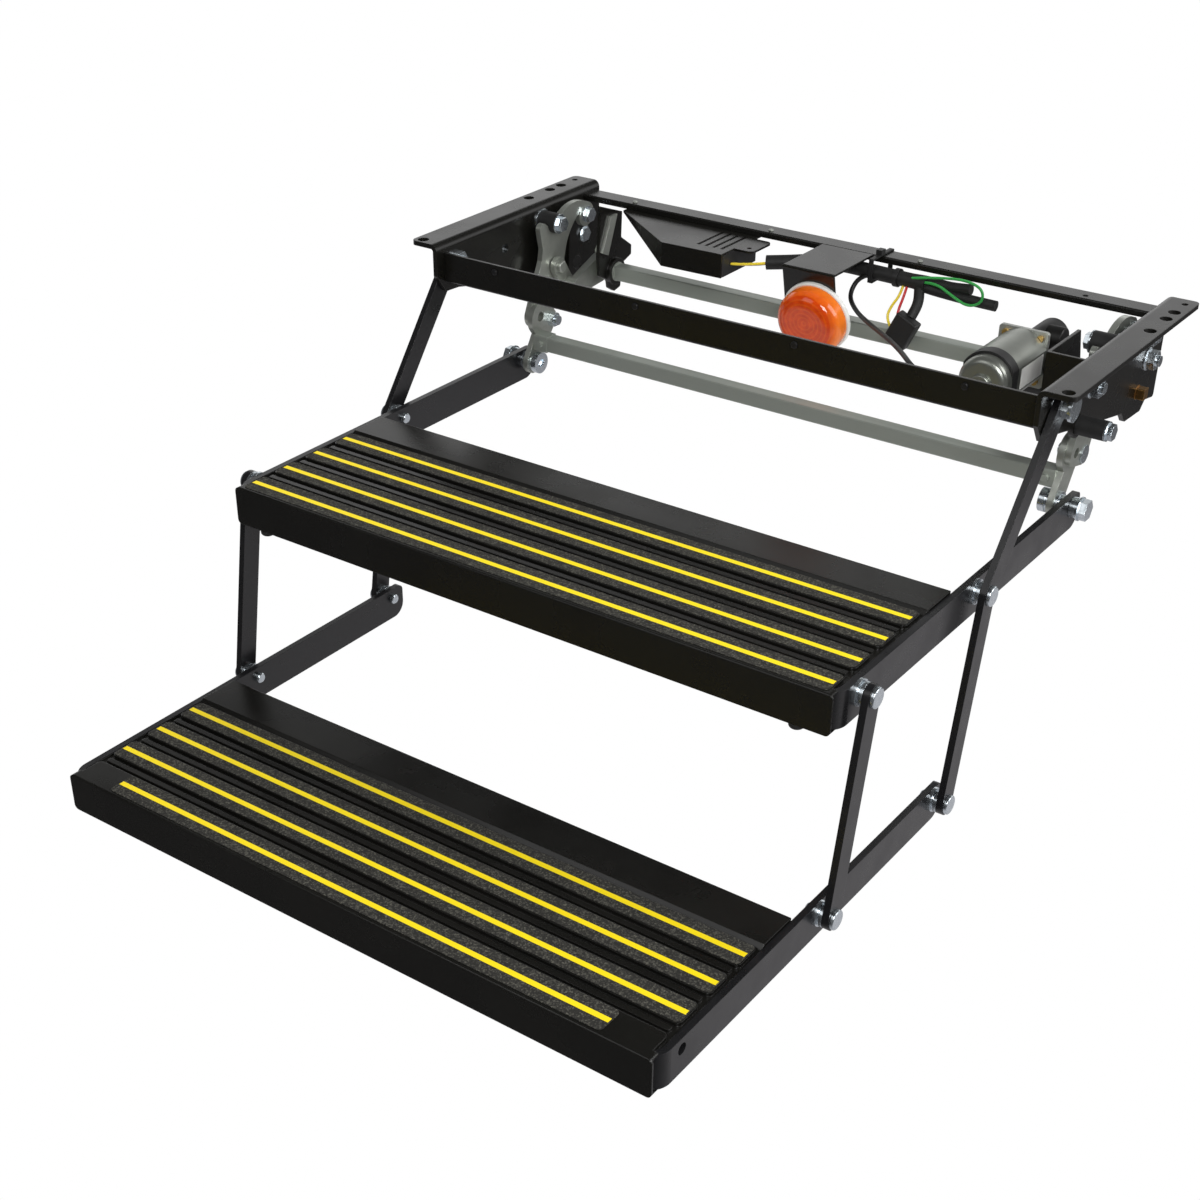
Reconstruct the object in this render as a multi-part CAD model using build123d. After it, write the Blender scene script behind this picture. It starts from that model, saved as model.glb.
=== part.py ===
from build123d import *
import math
import os

# Electric camper step with two folding treads, in millimetres.
# X runs across the door to the right, Y runs in under the vehicle, Z is up.
# The origin is the middle of the four main flange bolts, on top of the flanges.

# Linkage, as (y, z) in the plane of the side members
pivot_pitch = 195.0
long_pivot = (-89.0, -22.0)
rear_pivot = (long_pivot[0] + pivot_pitch, long_pivot[1])
upper_link_run = (-100.3, -130.3)
lower_link_run = (-31.7, -187.7)
first_hole_back = 34.0
pin_drop = 12.0
crank_axis = (rear_pivot[0], -76.0)
crank_run = (-41.09, -8.72)
drive_eye_run = (-56.0, -40.0)
pin_radius = 5.0
running_clearance = 0.05
open_pivot_clearance = 0.6
face_gap = 0.2

# Layers across the width, as distances from the middle plane
drive_link_inner = 288.0
drive_link_thickness = 5.5
drive_pin_head_height = 4.7
plate_inner = 288.5
plate_thickness = 6.0
fork_thickness = 6.0
arm_inner = 302.0
arm_thickness = 6.0
link_inner = 316.0
link_thickness = 6.0
web_inner = 310.5
web_thickness = 4.5
bearing_thickness = 4.0
crank_outer = 282.5
crank_thickness = 8.5
arm_outer = arm_inner + arm_thickness
link_outer = link_inner + link_thickness
web_outer = web_inner + web_thickness
plate_outer = plate_inner + plate_thickness
fork_outer = plate_outer + fork_thickness
bearing_inner = web_inner - bearing_thickness
crank_inner = crank_outer - crank_thickness
drive_link_outer = drive_link_inner + drive_link_thickness

# Mounting flanges
flange_front = -120.8
flange_back = 151.5
flange_outer = 342.6
flange_corner = 6.0
bend_outer_radius = 7.0
flange_hole_edge = 9.6
bolt_spacing_x = 2 * (flange_outer - flange_hole_edge)
bolt_spacing_y = 226.0
flange_hole_radius = 5.5
spare_hole_back = (57.0, 93.5)
small_hole_back = 138.0
small_hole_radius = 3.0
web_lug_radius = 12.0
web_front_height = 31.0
web_foot_drop = 95.0
web_lower_edge = [(-108.0, -49.0), (-88.0, -50.0), (18.0, -74.0), (74.0, -86.0), (84.0, -97.0),
                  (121.0, -99.0), (130.0, -91.0)]
web_corner = 3.0
crank_axis_hole_radius = 7.0
cut_margin = 1.0

# Treads
skirt_half_width = 305.0
skirt_height = 36.8
sheet = 2.0
skirt_lip = 12.0
skirt_corner = 4.5
rear_lip_height = 13.0
nose_radius = 1.8
side_notch_back = 10.0
panel_gap = 0.5
first_land_back = 16.7
land_pitch = 40.25
land_count = 4
land_width = 28.0
land_drop = 0.6
land_end = 299.0
land_corner = 5.0
gutter_drop = 4.0
bead_width = 5.2
bead_drop = 1.4
bead_end = 296.0
bead_corner = 1.0
band_gap = 5.55
band_slope = 4.0
band_width = 39.7
band_start = first_land_back + land_pitch * (land_count - 1) + land_width / 2 + band_gap
tread_depth = band_start + band_width
grip_width = 26.0
grip_half_length = 298.0
short_grip_half_length = 258.0
grip_corner = 4.0
foot_x = 274.0
foot_radius = 6.5
foot_height = 5.0
foot_edge = 3.0

# Tread arms and links
arm_height = 32.5
arm_top_drop = 2.0
arm_end_room = 16.0
arm_bend_radius = 18.0
arm_leg = 30.0
arm_top_corner = 6.0
arm_bottom_corner = 14.0
link_width = 20.0

# Rear links
tie_bar_side = 15.0
tie_bar_run = (-93.5, -109.0)
tie_block_side = 17.0
tie_block_length = 16.5
tie_pin_radius = 3.5
tie_pin_height = 3.0
head_run = (-86.0, -87.0)
head_radius = 18.0
head_hole_run = (-89.0, -85.0)
head_hole_radius = 5.0
neck_run = (-82.0, -101.0)
neck_radius = 12.5
joint_bolt_run = (-71.5, -92.0)
joint_bolt_radius = 10.0
eye_radius = 12.5
crescent_back_run = (-20.0, -29.0)
crescent_back_radius = 46.7
crescent_mouth_run = (18.0, -44.0)
crescent_mouth_radius = 57.5
crescent_bottom = -70.0
horn_run = (-75.0, 2.0)
horn_radius = 6.0
crotch_run = (-62.0, -18.0)
crotch_radius = 14.0
fork_body_run = (-60.0, -36.0)
fork_body_radius = 19.0
hub_length = 9.0
hub_radius = 11.0
hub_socket_depth = 4.0

# Stops
inner_stop = (49.0, -17.0)
inner_stop_radius = 10.0
inner_stop_tip = 288.0
outer_stop = (-30.0, -60.0)
outer_stop_radius = 8.7
outer_stop_tip = 340.0
stop_clearance = 0.4
stop_exit_turns = (0.0, 6.0, 12.0)

# Bolts, nuts and washers
small_hexagon = 13.0
middle_hexagon = 16.0
large_hexagon = 17.0
socket_hexagon = 8.0
nut_height = 7.5
thin_nut_height = 6.0
head_height = 5.0
thin_head_height = 4.0
washer_height = 1.5
washer_radius = 9.5
wide_washer_radius = 11.5
bolt_flange_radius = 8.5
thread_end = 3.0
plate_bolt_run = (12.0, -26.0)
bracket_bolt = (-13.0, -31.0)
spool_radius = 8.5
spool_rim_radius = 11.0
spool_rim = 3.0
rivet_radius = 8.7
rivet_height = 3.3
rivet_edge = 1.5
spool_rim_step = 1.0
link_pin_chamfer = 1.0
rivet_tail = 4.5
cap_height = 7.0

# Crossmembers
front_bar_front = -109.7
front_bar_bottom = -39.1
front_bar_top = -10.1
front_bar_sheet = 3.0
front_bar_leg = 18.0
front_screw_x = (-247.5, -84.6, 82.6, 243.7)
front_screw_z = -16.7
front_screw_radius = 2.0
rear_bar_front = 123.0
rear_bar_back = 145.0
rear_bar_top = -8.0
rear_bar_lip = 6.0
rear_bar_sheet = 2.5
rear_bar_edge = 1.5
rear_hole_x = 244.8
rear_hole_y = 131.0
rear_hole_radius = 2.5

# Drive
torque_bar_side = 15.0
torque_bar_edge = 1.0
journal_radius = 10.0
journal_margin = 1.0
bracket_wall_inner = 268.0
bracket_sheet = 3.0
bracket_front = -4.0
bracket_step = 62.0
bracket_back = 122.0
bracket_bottom = -92.0
bracket_front_bottom = -76.0
bracket_top = -14.0
bracket_low_top = -57.0
bracket_tab_width = 18.0
bracket_tab_bottom = -52.0
crank_end_radius = 9.3
crank_hub_radius = 15.0
crank_collar_radius = 8.0
drive_link_width = 18.6
drive_pin_head_radius = 6.0
stud_side = 10.0
stud_height = 8.0
stud_shank_radius = 6.9
gearbox_left = 198.0
case_left = 205.0
case_right = 241.0
case_radius = 31.0
case_edge = 3.0
hub_case_radius = 17.0
worm_housing_radius = 15.0
worm_housing_back = 125.0
side_cap_center = (87.0, -36.0)
side_cap_radius = 11.0
side_cap_left = 232.0
side_cap_right = 248.0
motor_x = 223.0
motor_z = -46.0
motor_radius = 26.0
motor_flat = 23.5
motor_flange_y = 52.0
motor_flange_thickness = 4.0
motor_can_length = 57.0
motor_band_length = 12.0
motor_cap_length = 12.0
motor_cap_edge = 7.0
motor_boss_length = 4.0
motor_boss_radius = 9.0
motor_flange_side = 47.0
motor_flange_height = 52.0
motor_screw_x = 16.5
motor_screw_z = 20.0
motor_screw_radius = 3.0
motor_screw_height = 3.0
motor_screw_clearance = 0.4
hanger_outer = 262.0
hanger_sheet = 4.0
hanger_boss_end = 254.0
hanger_boss_radius = 14.0
hanger_outline = [(81.0, -2.0), (119.0, -16.0), (118.0, -43.0), (137.0, -56.0), (137.0, -66.0),
                  (120.6, -71.6),
                  (117.5, -96.0), (106.4, -98.3), (97.0, -92.4), (95.0, -83.0), (80.4, -75.8), (78.0, -56.0)]
hanger_corner = 2.0
strap_thickness = 3.0
strap_outline = [(95.5, -15.0), (106.4, -15.0), (90.9, -55.1), (80.0, -50.1)]

# Lamp and control box
lamp_bracket_left = -22.6
lamp_bracket_right = 33.0
lamp_bracket_front = 46.5
lamp_sheet = 2.0
lamp_tilt = 14.0
lamp_flange_height = 70.0
lamp_flange_corner = 12.0
lamp_x = 12.5
lamp_drop = 47.5
lamp_ring_radius = 36.0
lamp_ring_depth = 4.0
lamp_ring_edge = 1.5
lamp_radius = 34.0
lamp_dome_depth = 21.0
lamp_dome_edge = 12.0
hood_tip = (-255.0, 117.0)
hood_front_left = (-164.0, 52.0)
hood_front_right = (-95.0, 54.0)
hood_tab_front = 77.0
hood_tab_back = 115.0
hood_tab_right = -74.0
hood_tab_corner = 6.0
hood_back = 133.0
hood_sheet = 2.0
hood_bottom = -38.0
box_clearance = 0.5
box_corner = 2.0
box_grooves = 4
box_groove_pitch = 9.0
box_groove_width = 3.0
box_groove_depth = 1.2
box_hole_radius = 2.2
box_hole_edge = 9.0

# Wiring, as tube radii and routes by hand
loom_radius = 7.0
sleeve_radius = 5.0
drop_radius = 5.0
lamp_cable_radius = 2.25
wire_radius = 1.3
loom_route = [(-64, 88, -25), (-43, 97, -23), (-18, 109, -20), (12, 113, -20), (42, 113, -21),
              (72, 113, -21.5),
              (96, 113.5, -22)]
long_sleeve_route = [(78, 114, -23.5), (100, 114, -26.5), (134, 114, -28.5), (168, 114, -29)]
short_sleeve_route = [(78, 115.5, -20.5), (98, 116.5, -20), (120, 116.5, -21.5), (141, 115.5, -19)]
drop_route = [(90, 112, -26), (95, 103, -38), (93, 93, -50)]
lamp_cable_route = [(53, 110, -20), (31, 108, -22), (23, 98, -42), (42, 78, -49), (78, 40, -44),
                    (118, -5, -34), (156, -52, -24), (188, -92, -20), (222, -101, -33.6)]
earth_wire_route = [(78, 110, -19), (92, 107, -15), (112, 107, -11), (138, 107, -8), (156, 107, -13),
                    (157, 107, -26), (143, 107, -33), (125, 107, -25), (108, 107.5, -17), (94, 110, -20)]
yellow_wire_route = [(74, 111, -25), (75, 104, -34), (69, 99, -45), (67, 94, -56), (76, 90, -64)]
red_wire_route = [(78, 111, -25), (79, 104, -34), (77, 99, -46), (78, 94, -56), (82, 90, -63)]
pigtail_count = 4
pigtail_start = (-94.5, 79.0, -30.0)
pigtail_pitch = (0.0, 5.0, -1.5)
pigtail_middle = (-80.0, 83.0, -29.5)
pigtail_end = (-62.0, 86.0, -25.0)
pigtail_gather = 0.55
connector_center = (88.0, 88.5, -62.0)
connector_size = (24.0, 12.0, 30.0)
connector_tilt = 25.0
connector_corner = 2.0
tie_x = 41.0
tie_width = 4.5
tie_thickness = 1.5
bend_share_of_run = 0.45
tie_gap = 0.3
tie_head = (6.0, 8.0, 5.0)
loom_tie_x = 66.0


def add(first, second):
    """Sum of two (y, z) points."""
    return (first[0] + second[0], first[1] + second[1])


def layer(sketch, x_from, x_to):
    """Flat piece parallel to the side members, from a (y, z) sketch."""
    return extrude(Plane.YZ.offset(x_from) * sketch, amount=x_to - x_from, dir=(1, 0, 0))


def cross_layer(sketch, y_from, y_to):
    """Flat piece square to the side members, from an (x, z) sketch."""
    return extrude(Plane.XZ.offset(-y_from) * sketch, amount=y_to - y_from, dir=(0, 1, 0))


def disc(center, radius, x_from, x_to):
    """Round piece along X."""
    return layer(Pos(*center) * Circle(radius), x_from, x_to)


def hexagon(center, across_flats, x_from, x_to):
    """Hexagon along X."""
    return layer(Pos(*center) * RegularPolygon(across_flats / 2, 6, major_radius=False), x_from, x_to)


def slot(start, end, width):
    """Round-ended strip between two (y, z) points."""
    run = (end[0] - start[0], end[1] - start[1])
    middle = ((start[0] + end[0]) / 2, (start[1] + end[1]) / 2)
    turn = math.degrees(math.atan2(run[1], run[0]))
    return Pos(*middle) * Rot(0, 0, turn) * SlotCenterToCenter(math.hypot(*run), width)


def hull(*circles):
    """Outline pulled tight round circles, each given as (center, radius)."""
    edges = [edge for center, radius in circles for edge in (Pos(*center) * Circle(radius)).edges()]
    return make_hull(edges)


def block(x_from, x_to, y_from, y_to, z_from, z_to):
    """Rectangular block between six limits."""
    size = (x_to - x_from, y_to - y_from, z_to - z_from)
    center = ((x_from + x_to) / 2, (y_from + y_to) / 2, (z_from + z_to) / 2)
    return Pos(*center) * Box(*size)


def both_sides(shape):
    """The right-hand solids and their mirror images, as one group."""
    return Compound(children=[*shape.solids(), *mirror(shape, about=Plane.YZ).solids()])


def group(*shapes):
    """Separate solids kept together as one node."""
    return Compound(children=[solid for shape in shapes for solid in shape.solids()])


def bore(center, radius, x_from, x_to):
    """Cutter along X that runs past both faces."""
    return disc(center, radius, x_from - cut_margin, x_to + cut_margin)


def tube(route, radius):
    """Round tube along a hand-chosen route, with the widest arc that each corner takes."""
    points = [Vector(*point) for point in route]
    runs = [after - before for before, after in zip(points, points[1:])]
    bends = []
    for first, second in zip(runs, runs[1:]):
        half_turn = math.radians(first.get_angle(second)) / 2
        bends.append(bend_share_of_run * min(first.length, second.length) / math.tan(half_turn))
    path = FilletPolyline(*points, radius=bends)
    profile = Plane(origin=path @ 0, z_dir=path % 0) * Circle(radius)
    body = sweep(profile, path=path)
    print("tube", round(path.length, 1), "mm long, tightest bend", round(min(bends), 1),
          "volume share", round(body.volume / (math.pi * radius ** 2 * path.length), 4))
    return body


upper_front_pin_run = (-pivot_pitch, 0.0)
upper_middle = add(long_pivot, upper_link_run)
upper_front = add(upper_middle, upper_front_pin_run)
upper_rear = add(rear_pivot, upper_link_run)
lower_rear = add(upper_middle, lower_link_run)
lower_middle = add(lower_rear, upper_front_pin_run)
hole_backs = [first_hole_back + pivot_pitch * index for index in range(3)]
arm_length = hole_backs[-1] + arm_end_room
upper_step = (upper_front[0] - hole_backs[0], upper_front[1] + pin_drop)
lower_step = (lower_middle[0] - hole_backs[1], lower_middle[1] + pin_drop)
bore_radius = pin_radius + running_clearance
open_bore_radius = pin_radius + open_pivot_clearance
journal_bore_radius = journal_radius + running_clearance
crank_pin = add(crank_axis, crank_run)
drive_eye = add(rear_pivot, drive_eye_run)
joint_bolt = add(rear_pivot, joint_bolt_run)
head_center = add(rear_pivot, head_run)
head_hole = add(rear_pivot, head_hole_run)
tie_bar_center = add(rear_pivot, tie_bar_run)
plate_bolt = add(rear_pivot, plate_bolt_run)
bracket_wall_outer = bracket_wall_inner + bracket_sheet
bracket_face = web_inner - bracket_sheet
motor_can_front = motor_flange_y - motor_can_length
motor_band_front = motor_can_front - motor_band_length
motor_cap_front = motor_band_front - motor_cap_length
gearbox_front = motor_flange_y + motor_flange_thickness
rear_bar_bottom = rear_bar_top - rear_bar_lip


def mount_flange():
    """Right side member: a web with a flange bent outward, all its holes cut."""
    web_outline = Polygon(
        (flange_front, -bend_outer_radius), (flange_front, -web_front_height), *web_lower_edge,
        (flange_back, -web_foot_drop), (flange_back, -bend_outer_radius), align=None)
    lower_corners = [corner for corner in web_outline.vertices() if corner.Y < -web_front_height - cut_margin]
    web_outline = fillet(lower_corners, web_corner)
    web = layer(web_outline + Pos(*outer_stop) * Circle(web_lug_radius), web_inner, web_outer)
    bend_inner = bend_outer_radius - web_thickness
    bend_center = (web_inner + bend_outer_radius, -bend_outer_radius)
    elbow = Pos(*bend_center) * (Circle(bend_outer_radius) - Circle(bend_inner))
    elbow &= Pos(*bend_center) * Rectangle(bend_outer_radius, bend_outer_radius, align=(Align.MAX, Align.MIN))
    flat_length = flange_outer - bend_center[0]
    flat = Pos(bend_center[0], 0) * Rectangle(flat_length, web_thickness, align=(Align.MIN, Align.MAX))
    flange = cross_layer(elbow + flat, flange_front, flange_back)
    tips = flange.edges().filter_by(Axis.Z).sort_by(Axis.X)[-2:]
    body = web + fillet(tips, flange_corner)
    hole_x = bolt_spacing_x / 2
    holes = {-bolt_spacing_y / 2: flange_hole_radius, bolt_spacing_y / 2: flange_hole_radius,
             small_hole_back: small_hole_radius}
    holes.update({back: flange_hole_radius for back in spare_hole_back})
    for back, radius in holes.items():
        body -= Pos(hole_x, back, -web_thickness / 2) * Cylinder(radius, 2 * web_thickness)
    for center in (long_pivot, rear_pivot, plate_bolt, bracket_bolt, inner_stop, outer_stop):
        body -= bore(center, bore_radius, web_inner, web_outer)
    return body - bore(crank_axis, crank_axis_hole_radius, web_inner, web_outer)


def bearing_plate():
    """Doubler inside the web, round the rear pivot and the crank axis."""
    outline = hull((rear_pivot, eye_radius), (plate_bolt, joint_bolt_radius), (crank_axis, crank_hub_radius))
    body = layer(outline, bearing_inner, web_inner)
    for center in (rear_pivot, plate_bolt):
        body -= bore(center, bore_radius, bearing_inner, web_inner)
    return body - bore(crank_axis, crank_axis_hole_radius, bearing_inner, web_inner)


def front_crossmember():
    """Angle across the front with a rounded lower bend and four screw holes."""
    profile = Polyline(
        (front_bar_front, front_bar_top), (front_bar_front, front_bar_bottom),
        (front_bar_front + front_bar_leg, front_bar_bottom),
        (front_bar_front + front_bar_leg, front_bar_bottom + front_bar_sheet),
        (front_bar_front + front_bar_sheet, front_bar_bottom + front_bar_sheet),
        (front_bar_front + front_bar_sheet, front_bar_top), close=True)
    body = layer(make_face(profile), -web_inner, web_inner)
    bend = body.edges().filter_by(Axis.X).sort_by(Axis.Z)[:4].sort_by(Axis.Y)[0]
    body = fillet(bend, front_bar_sheet)
    for x in front_screw_x:
        hole = Rot(90, 0, 0) * Cylinder(front_screw_radius, 4 * front_bar_sheet)
        body -= Pos(x, front_bar_front, front_screw_z) * hole
    return body


def rear_crossmember():
    """Shallow inverted channel across the back."""
    outer = block(-web_inner, web_inner, rear_bar_front, rear_bar_back, rear_bar_top - rear_bar_lip,
                  rear_bar_top)
    inner = block(-web_inner - cut_margin, web_inner + cut_margin, rear_bar_front + rear_bar_sheet,
                  rear_bar_back - rear_bar_sheet, rear_bar_top - rear_bar_lip - cut_margin,
                  rear_bar_top - rear_bar_sheet)
    edges = outer.edges().filter_by(Axis.X).sort_by(Axis.Z)[-2:]
    body = fillet(edges, rear_bar_edge) - inner
    return body - Pos(rear_hole_x, rear_hole_y, rear_bar_top) * Cylinder(rear_hole_radius, 4 * rear_bar_sheet)


def tread_panel(step):
    """Pressed tread: rounded nose and skirt, raised lands and beads, rear band, turned-down back lip."""
    front, top = step
    half = arm_inner - panel_gap
    back = front + tread_depth
    nose_back = front + sheet
    flat = top - land_drop
    bottom = top - skirt_height
    skirt = Polyline(
        (front, flat), (front, bottom), (front + skirt_lip, bottom), (front + skirt_lip, bottom + sheet),
        (nose_back, bottom + sheet), (nose_back, top - sheet), (front + side_notch_back, top - sheet),
        (front + side_notch_back, flat), close=True)
    body = layer(make_face(skirt), -skirt_half_width, skirt_half_width)
    nose = body.edges().filter_by(Axis.X).group_by(Axis.Z)[-1].sort_by(Axis.Y)[0]
    body = fillet(nose, nose_radius)
    face = Pos(0, (flat + bottom) / 2) * RectangleRounded(2 * skirt_half_width, flat - bottom, skirt_corner)
    body &= cross_layer(face, front, front + skirt_lip)
    gutter_top = top - gutter_drop
    sheet_profile = Polyline(
        (front + side_notch_back - sheet, flat), (front + side_notch_back - sheet, gutter_top - sheet),
        (front + band_start, gutter_top - sheet), (front + band_start + band_slope, top - sheet),
        (back - sheet, top - sheet), (back - sheet, top - rear_lip_height), (back, top - rear_lip_height),
        (back, top), (front + band_start, top), (front + band_start - band_slope, gutter_top),
        (front + side_notch_back, gutter_top), (front + side_notch_back, flat), close=True)
    body += layer(make_face(sheet_profile), -half, half)
    for index in range(land_count):
        middle = front + first_land_back + land_pitch * index
        body += land(middle, land_width, land_end, flat, gutter_top, land_corner)
        body -= land(middle, land_width - 2 * sheet, land_end - sheet, flat - sheet,
                     gutter_top - sheet - cut_margin, land_corner - sheet)
    for index in range(land_count - 1):
        middle = front + first_land_back + land_pitch * (index + 0.5)
        body += land(middle, bead_width, bead_end, top - bead_drop, gutter_top, bead_corner)
    corner = extrude(Plane.XY.offset(top - arm_top_drop) * arm_plan(front, panel_gap), amount=-arm_height)
    corner &= block(0, arm_outer + cut_margin, front + sheet, front + sheet + arm_bend_radius,
                    top - arm_height, top)
    return body - corner - mirror(corner, about=Plane.YZ)


def land(middle, width, half_length, z_top, z_bottom, corner):
    """Raised strip along X with rounded ends."""
    outline = RectangleRounded(2 * half_length, width, corner)
    return extrude(Plane.XY.offset(z_bottom) * Pos(0, middle) * outline, amount=z_top - z_bottom)


def grip_strips(step, first_half_length):
    """Grip tapes on the four lands."""
    front, top = step
    strips = []
    for index in range(land_count):
        half_length = first_half_length if index == 0 else grip_half_length
        middle = front + first_land_back + land_pitch * index
        strips.append(land(middle, grip_width, half_length, top, top - land_drop, grip_corner))
    return group(*strips)


def arm_plan(front, room):
    """Right arm seen from above, with this much room added on its inner side."""
    thickness = arm_thickness + room
    bend_center = (arm_outer - arm_bend_radius, front + sheet + arm_bend_radius)
    quarter = Pos(*bend_center) * (Circle(arm_bend_radius) - Circle(arm_bend_radius - thickness))
    quarter &= Pos(*bend_center) * Rectangle(arm_bend_radius, arm_bend_radius, align=(Align.MIN, Align.MAX))
    side = Pos(arm_outer, bend_center[1]) * Rectangle(
        thickness, front + arm_length - bend_center[1], align=(Align.MAX, Align.MIN))
    leg = Pos(bend_center[0], front + sheet) * Rectangle(arm_leg + room, thickness,
                                                         align=(Align.MAX, Align.MIN))
    return quarter + side + leg


def step_arm(step, holes):
    """Right arm of a tread: a flat bar on edge, bent inward behind the skirt."""
    front, top = step
    body = extrude(Plane.XY.offset(top - arm_top_drop) * arm_plan(front, 0), amount=-arm_height)
    bottom_edge, top_edge = body.edges().filter_by(Axis.X).sort_by(Axis.Y)[-2:].sort_by(Axis.Z)
    body = fillet(bottom_edge, arm_bottom_corner)
    top_edge = body.edges().filter_by(Axis.X).group_by(Axis.Z)[-1].sort_by(Axis.Y)[-1]
    body = fillet(top_edge, arm_top_corner)
    for index, radius in holes.items():
        body -= bore((front + hole_backs[index], top - pin_drop), radius, arm_inner, arm_outer)
    return body


def link(points):
    """Flat link through two or more pivots, with a running bore at each."""
    outline = Sketch() + [slot(start, end, link_width) for start, end in zip(points, points[1:])]
    body = layer(outline, link_inner, link_outer)
    for center in points:
        body -= bore(center, bore_radius, link_inner, link_outer)
    return body


def link_pin(center):
    """Shouldered rivet and spool at one pivot between an arm and a link."""
    head_from = link_outer + face_gap
    spool = disc(center, spool_rim_radius, arm_outer, arm_outer + spool_rim)
    spool += disc(center, spool_radius, arm_outer + spool_rim, link_inner - spool_rim)
    spool += disc(center, spool_rim_radius - spool_rim_step, link_inner - spool_rim, link_inner - face_gap)
    spool -= bore(center, bore_radius, arm_outer, link_inner)
    pin = disc(center, pin_radius, arm_inner - rivet_tail, head_from)
    head = disc(center, rivet_radius, head_from, head_from + rivet_height)
    head = fillet(head.edges().sort_by(Axis.X)[-1], rivet_edge)
    pin = chamfer(pin.edges().sort_by(Axis.X)[0], link_pin_chamfer)
    return group(spool, pin + head)


def nut(center, across_flats, x_from, height):
    """Plain nut along X."""
    return hexagon(center, across_flats, x_from, x_from + height) - bore(center, bore_radius, x_from,
                                                                         x_from + height)


def long_pivot_bolt():
    """Bolt that the long link turns on, with its nut inside the web and a large washer outside."""
    head_from = link_outer + face_gap
    body = disc(long_pivot, pin_radius, web_inner - thin_nut_height - thread_end, head_from)
    body += hexagon(long_pivot, large_hexagon, head_from, head_from + cap_height)
    body += disc(long_pivot, wide_washer_radius, head_from + cap_height,
                 head_from + cap_height + 2 * washer_height)
    washer = disc(long_pivot, joint_bolt_radius, web_outer, link_inner - face_gap)
    washer -= bore(long_pivot, bore_radius, web_outer, link_inner)
    return group(body, nut(long_pivot, middle_hexagon, web_inner - thin_nut_height, thin_nut_height), washer)


def frame_bolt(center, head_from, height):
    """Flanged bolt through the web with a washer and nut outside."""
    nut_from = web_outer + washer_height
    body = disc(center, pin_radius, head_from, nut_from + nut_height + thread_end)
    body += disc(center, bolt_flange_radius, head_from - washer_height, head_from)
    body += hexagon(center, small_hexagon, head_from - height, head_from - washer_height)
    washer = disc(center, washer_radius, web_outer, nut_from) - bore(center, bore_radius, web_outer, nut_from)
    return group(body, washer, nut(center, middle_hexagon, nut_from, nut_height))


def rear_pivot_spacer():
    """Spacer between the bearing plate and the eye of the fork."""
    spacer = disc(rear_pivot, washer_radius, fork_outer + face_gap, bearing_inner)
    return spacer - bore(rear_pivot, bore_radius, fork_outer, bearing_inner)


def rear_link_plate():
    """Lower plate of the rear link: round head, joint bolt corner and the eye on the upper arm."""
    neck = add(rear_pivot, neck_run)
    outline = hull((head_center, head_radius), (joint_bolt, joint_bolt_radius), (neck, neck_radius))
    outline += hull((neck, neck_radius), (upper_rear, eye_radius))
    body = layer(outline, plate_inner, plate_outer)
    body -= bore(head_hole, head_hole_radius, plate_inner, plate_outer)
    for center in (joint_bolt, upper_rear):
        body -= bore(center, bore_radius, plate_inner, plate_outer)
    return body


def rear_link_fork():
    """Forked lever: a crescent arm to the rear pivot, a horn before the stop sleeve, a stem to the plate."""
    body_center = add(rear_pivot, fork_body_run)
    crotch = add(rear_pivot, crotch_run)
    horn = add(rear_pivot, horn_run)
    back = add(rear_pivot, crescent_back_run)
    crescent = Pos(*back) * Circle(crescent_back_radius)
    crescent -= Pos(*add(rear_pivot, crescent_mouth_run)) * Circle(crescent_mouth_radius)
    upper_half = Pos(back[0], crescent_bottom) * Rectangle(
        4 * crescent_back_radius, 2 * crescent_back_radius, align=(Align.CENTER, Align.MIN))
    outline = (crescent & upper_half) + Pos(*rear_pivot) * Circle(eye_radius)
    outline += hull((body_center, fork_body_radius), (crotch, crotch_radius))
    outline += hull((crotch, crotch_radius), (horn, horn_radius))
    outline += hull((body_center, fork_body_radius), (joint_bolt, joint_bolt_radius), (head_hole, eye_radius))
    stop_run = (inner_stop[0] - rear_pivot[0], inner_stop[1] - rear_pivot[1])
    for turn in stop_exit_turns:
        outline -= (Pos(*rear_pivot) * Rot(0, 0, -turn) * Pos(*stop_run)
                    * Circle(inner_stop_radius + stop_clearance))
    body = layer(outline, plate_outer, fork_outer)
    for center, radius in ((rear_pivot, bore_radius), (joint_bolt, bore_radius),
                           (head_hole, head_hole_radius)):
        body -= bore(center, radius, plate_outer, fork_outer)
    return body


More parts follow.
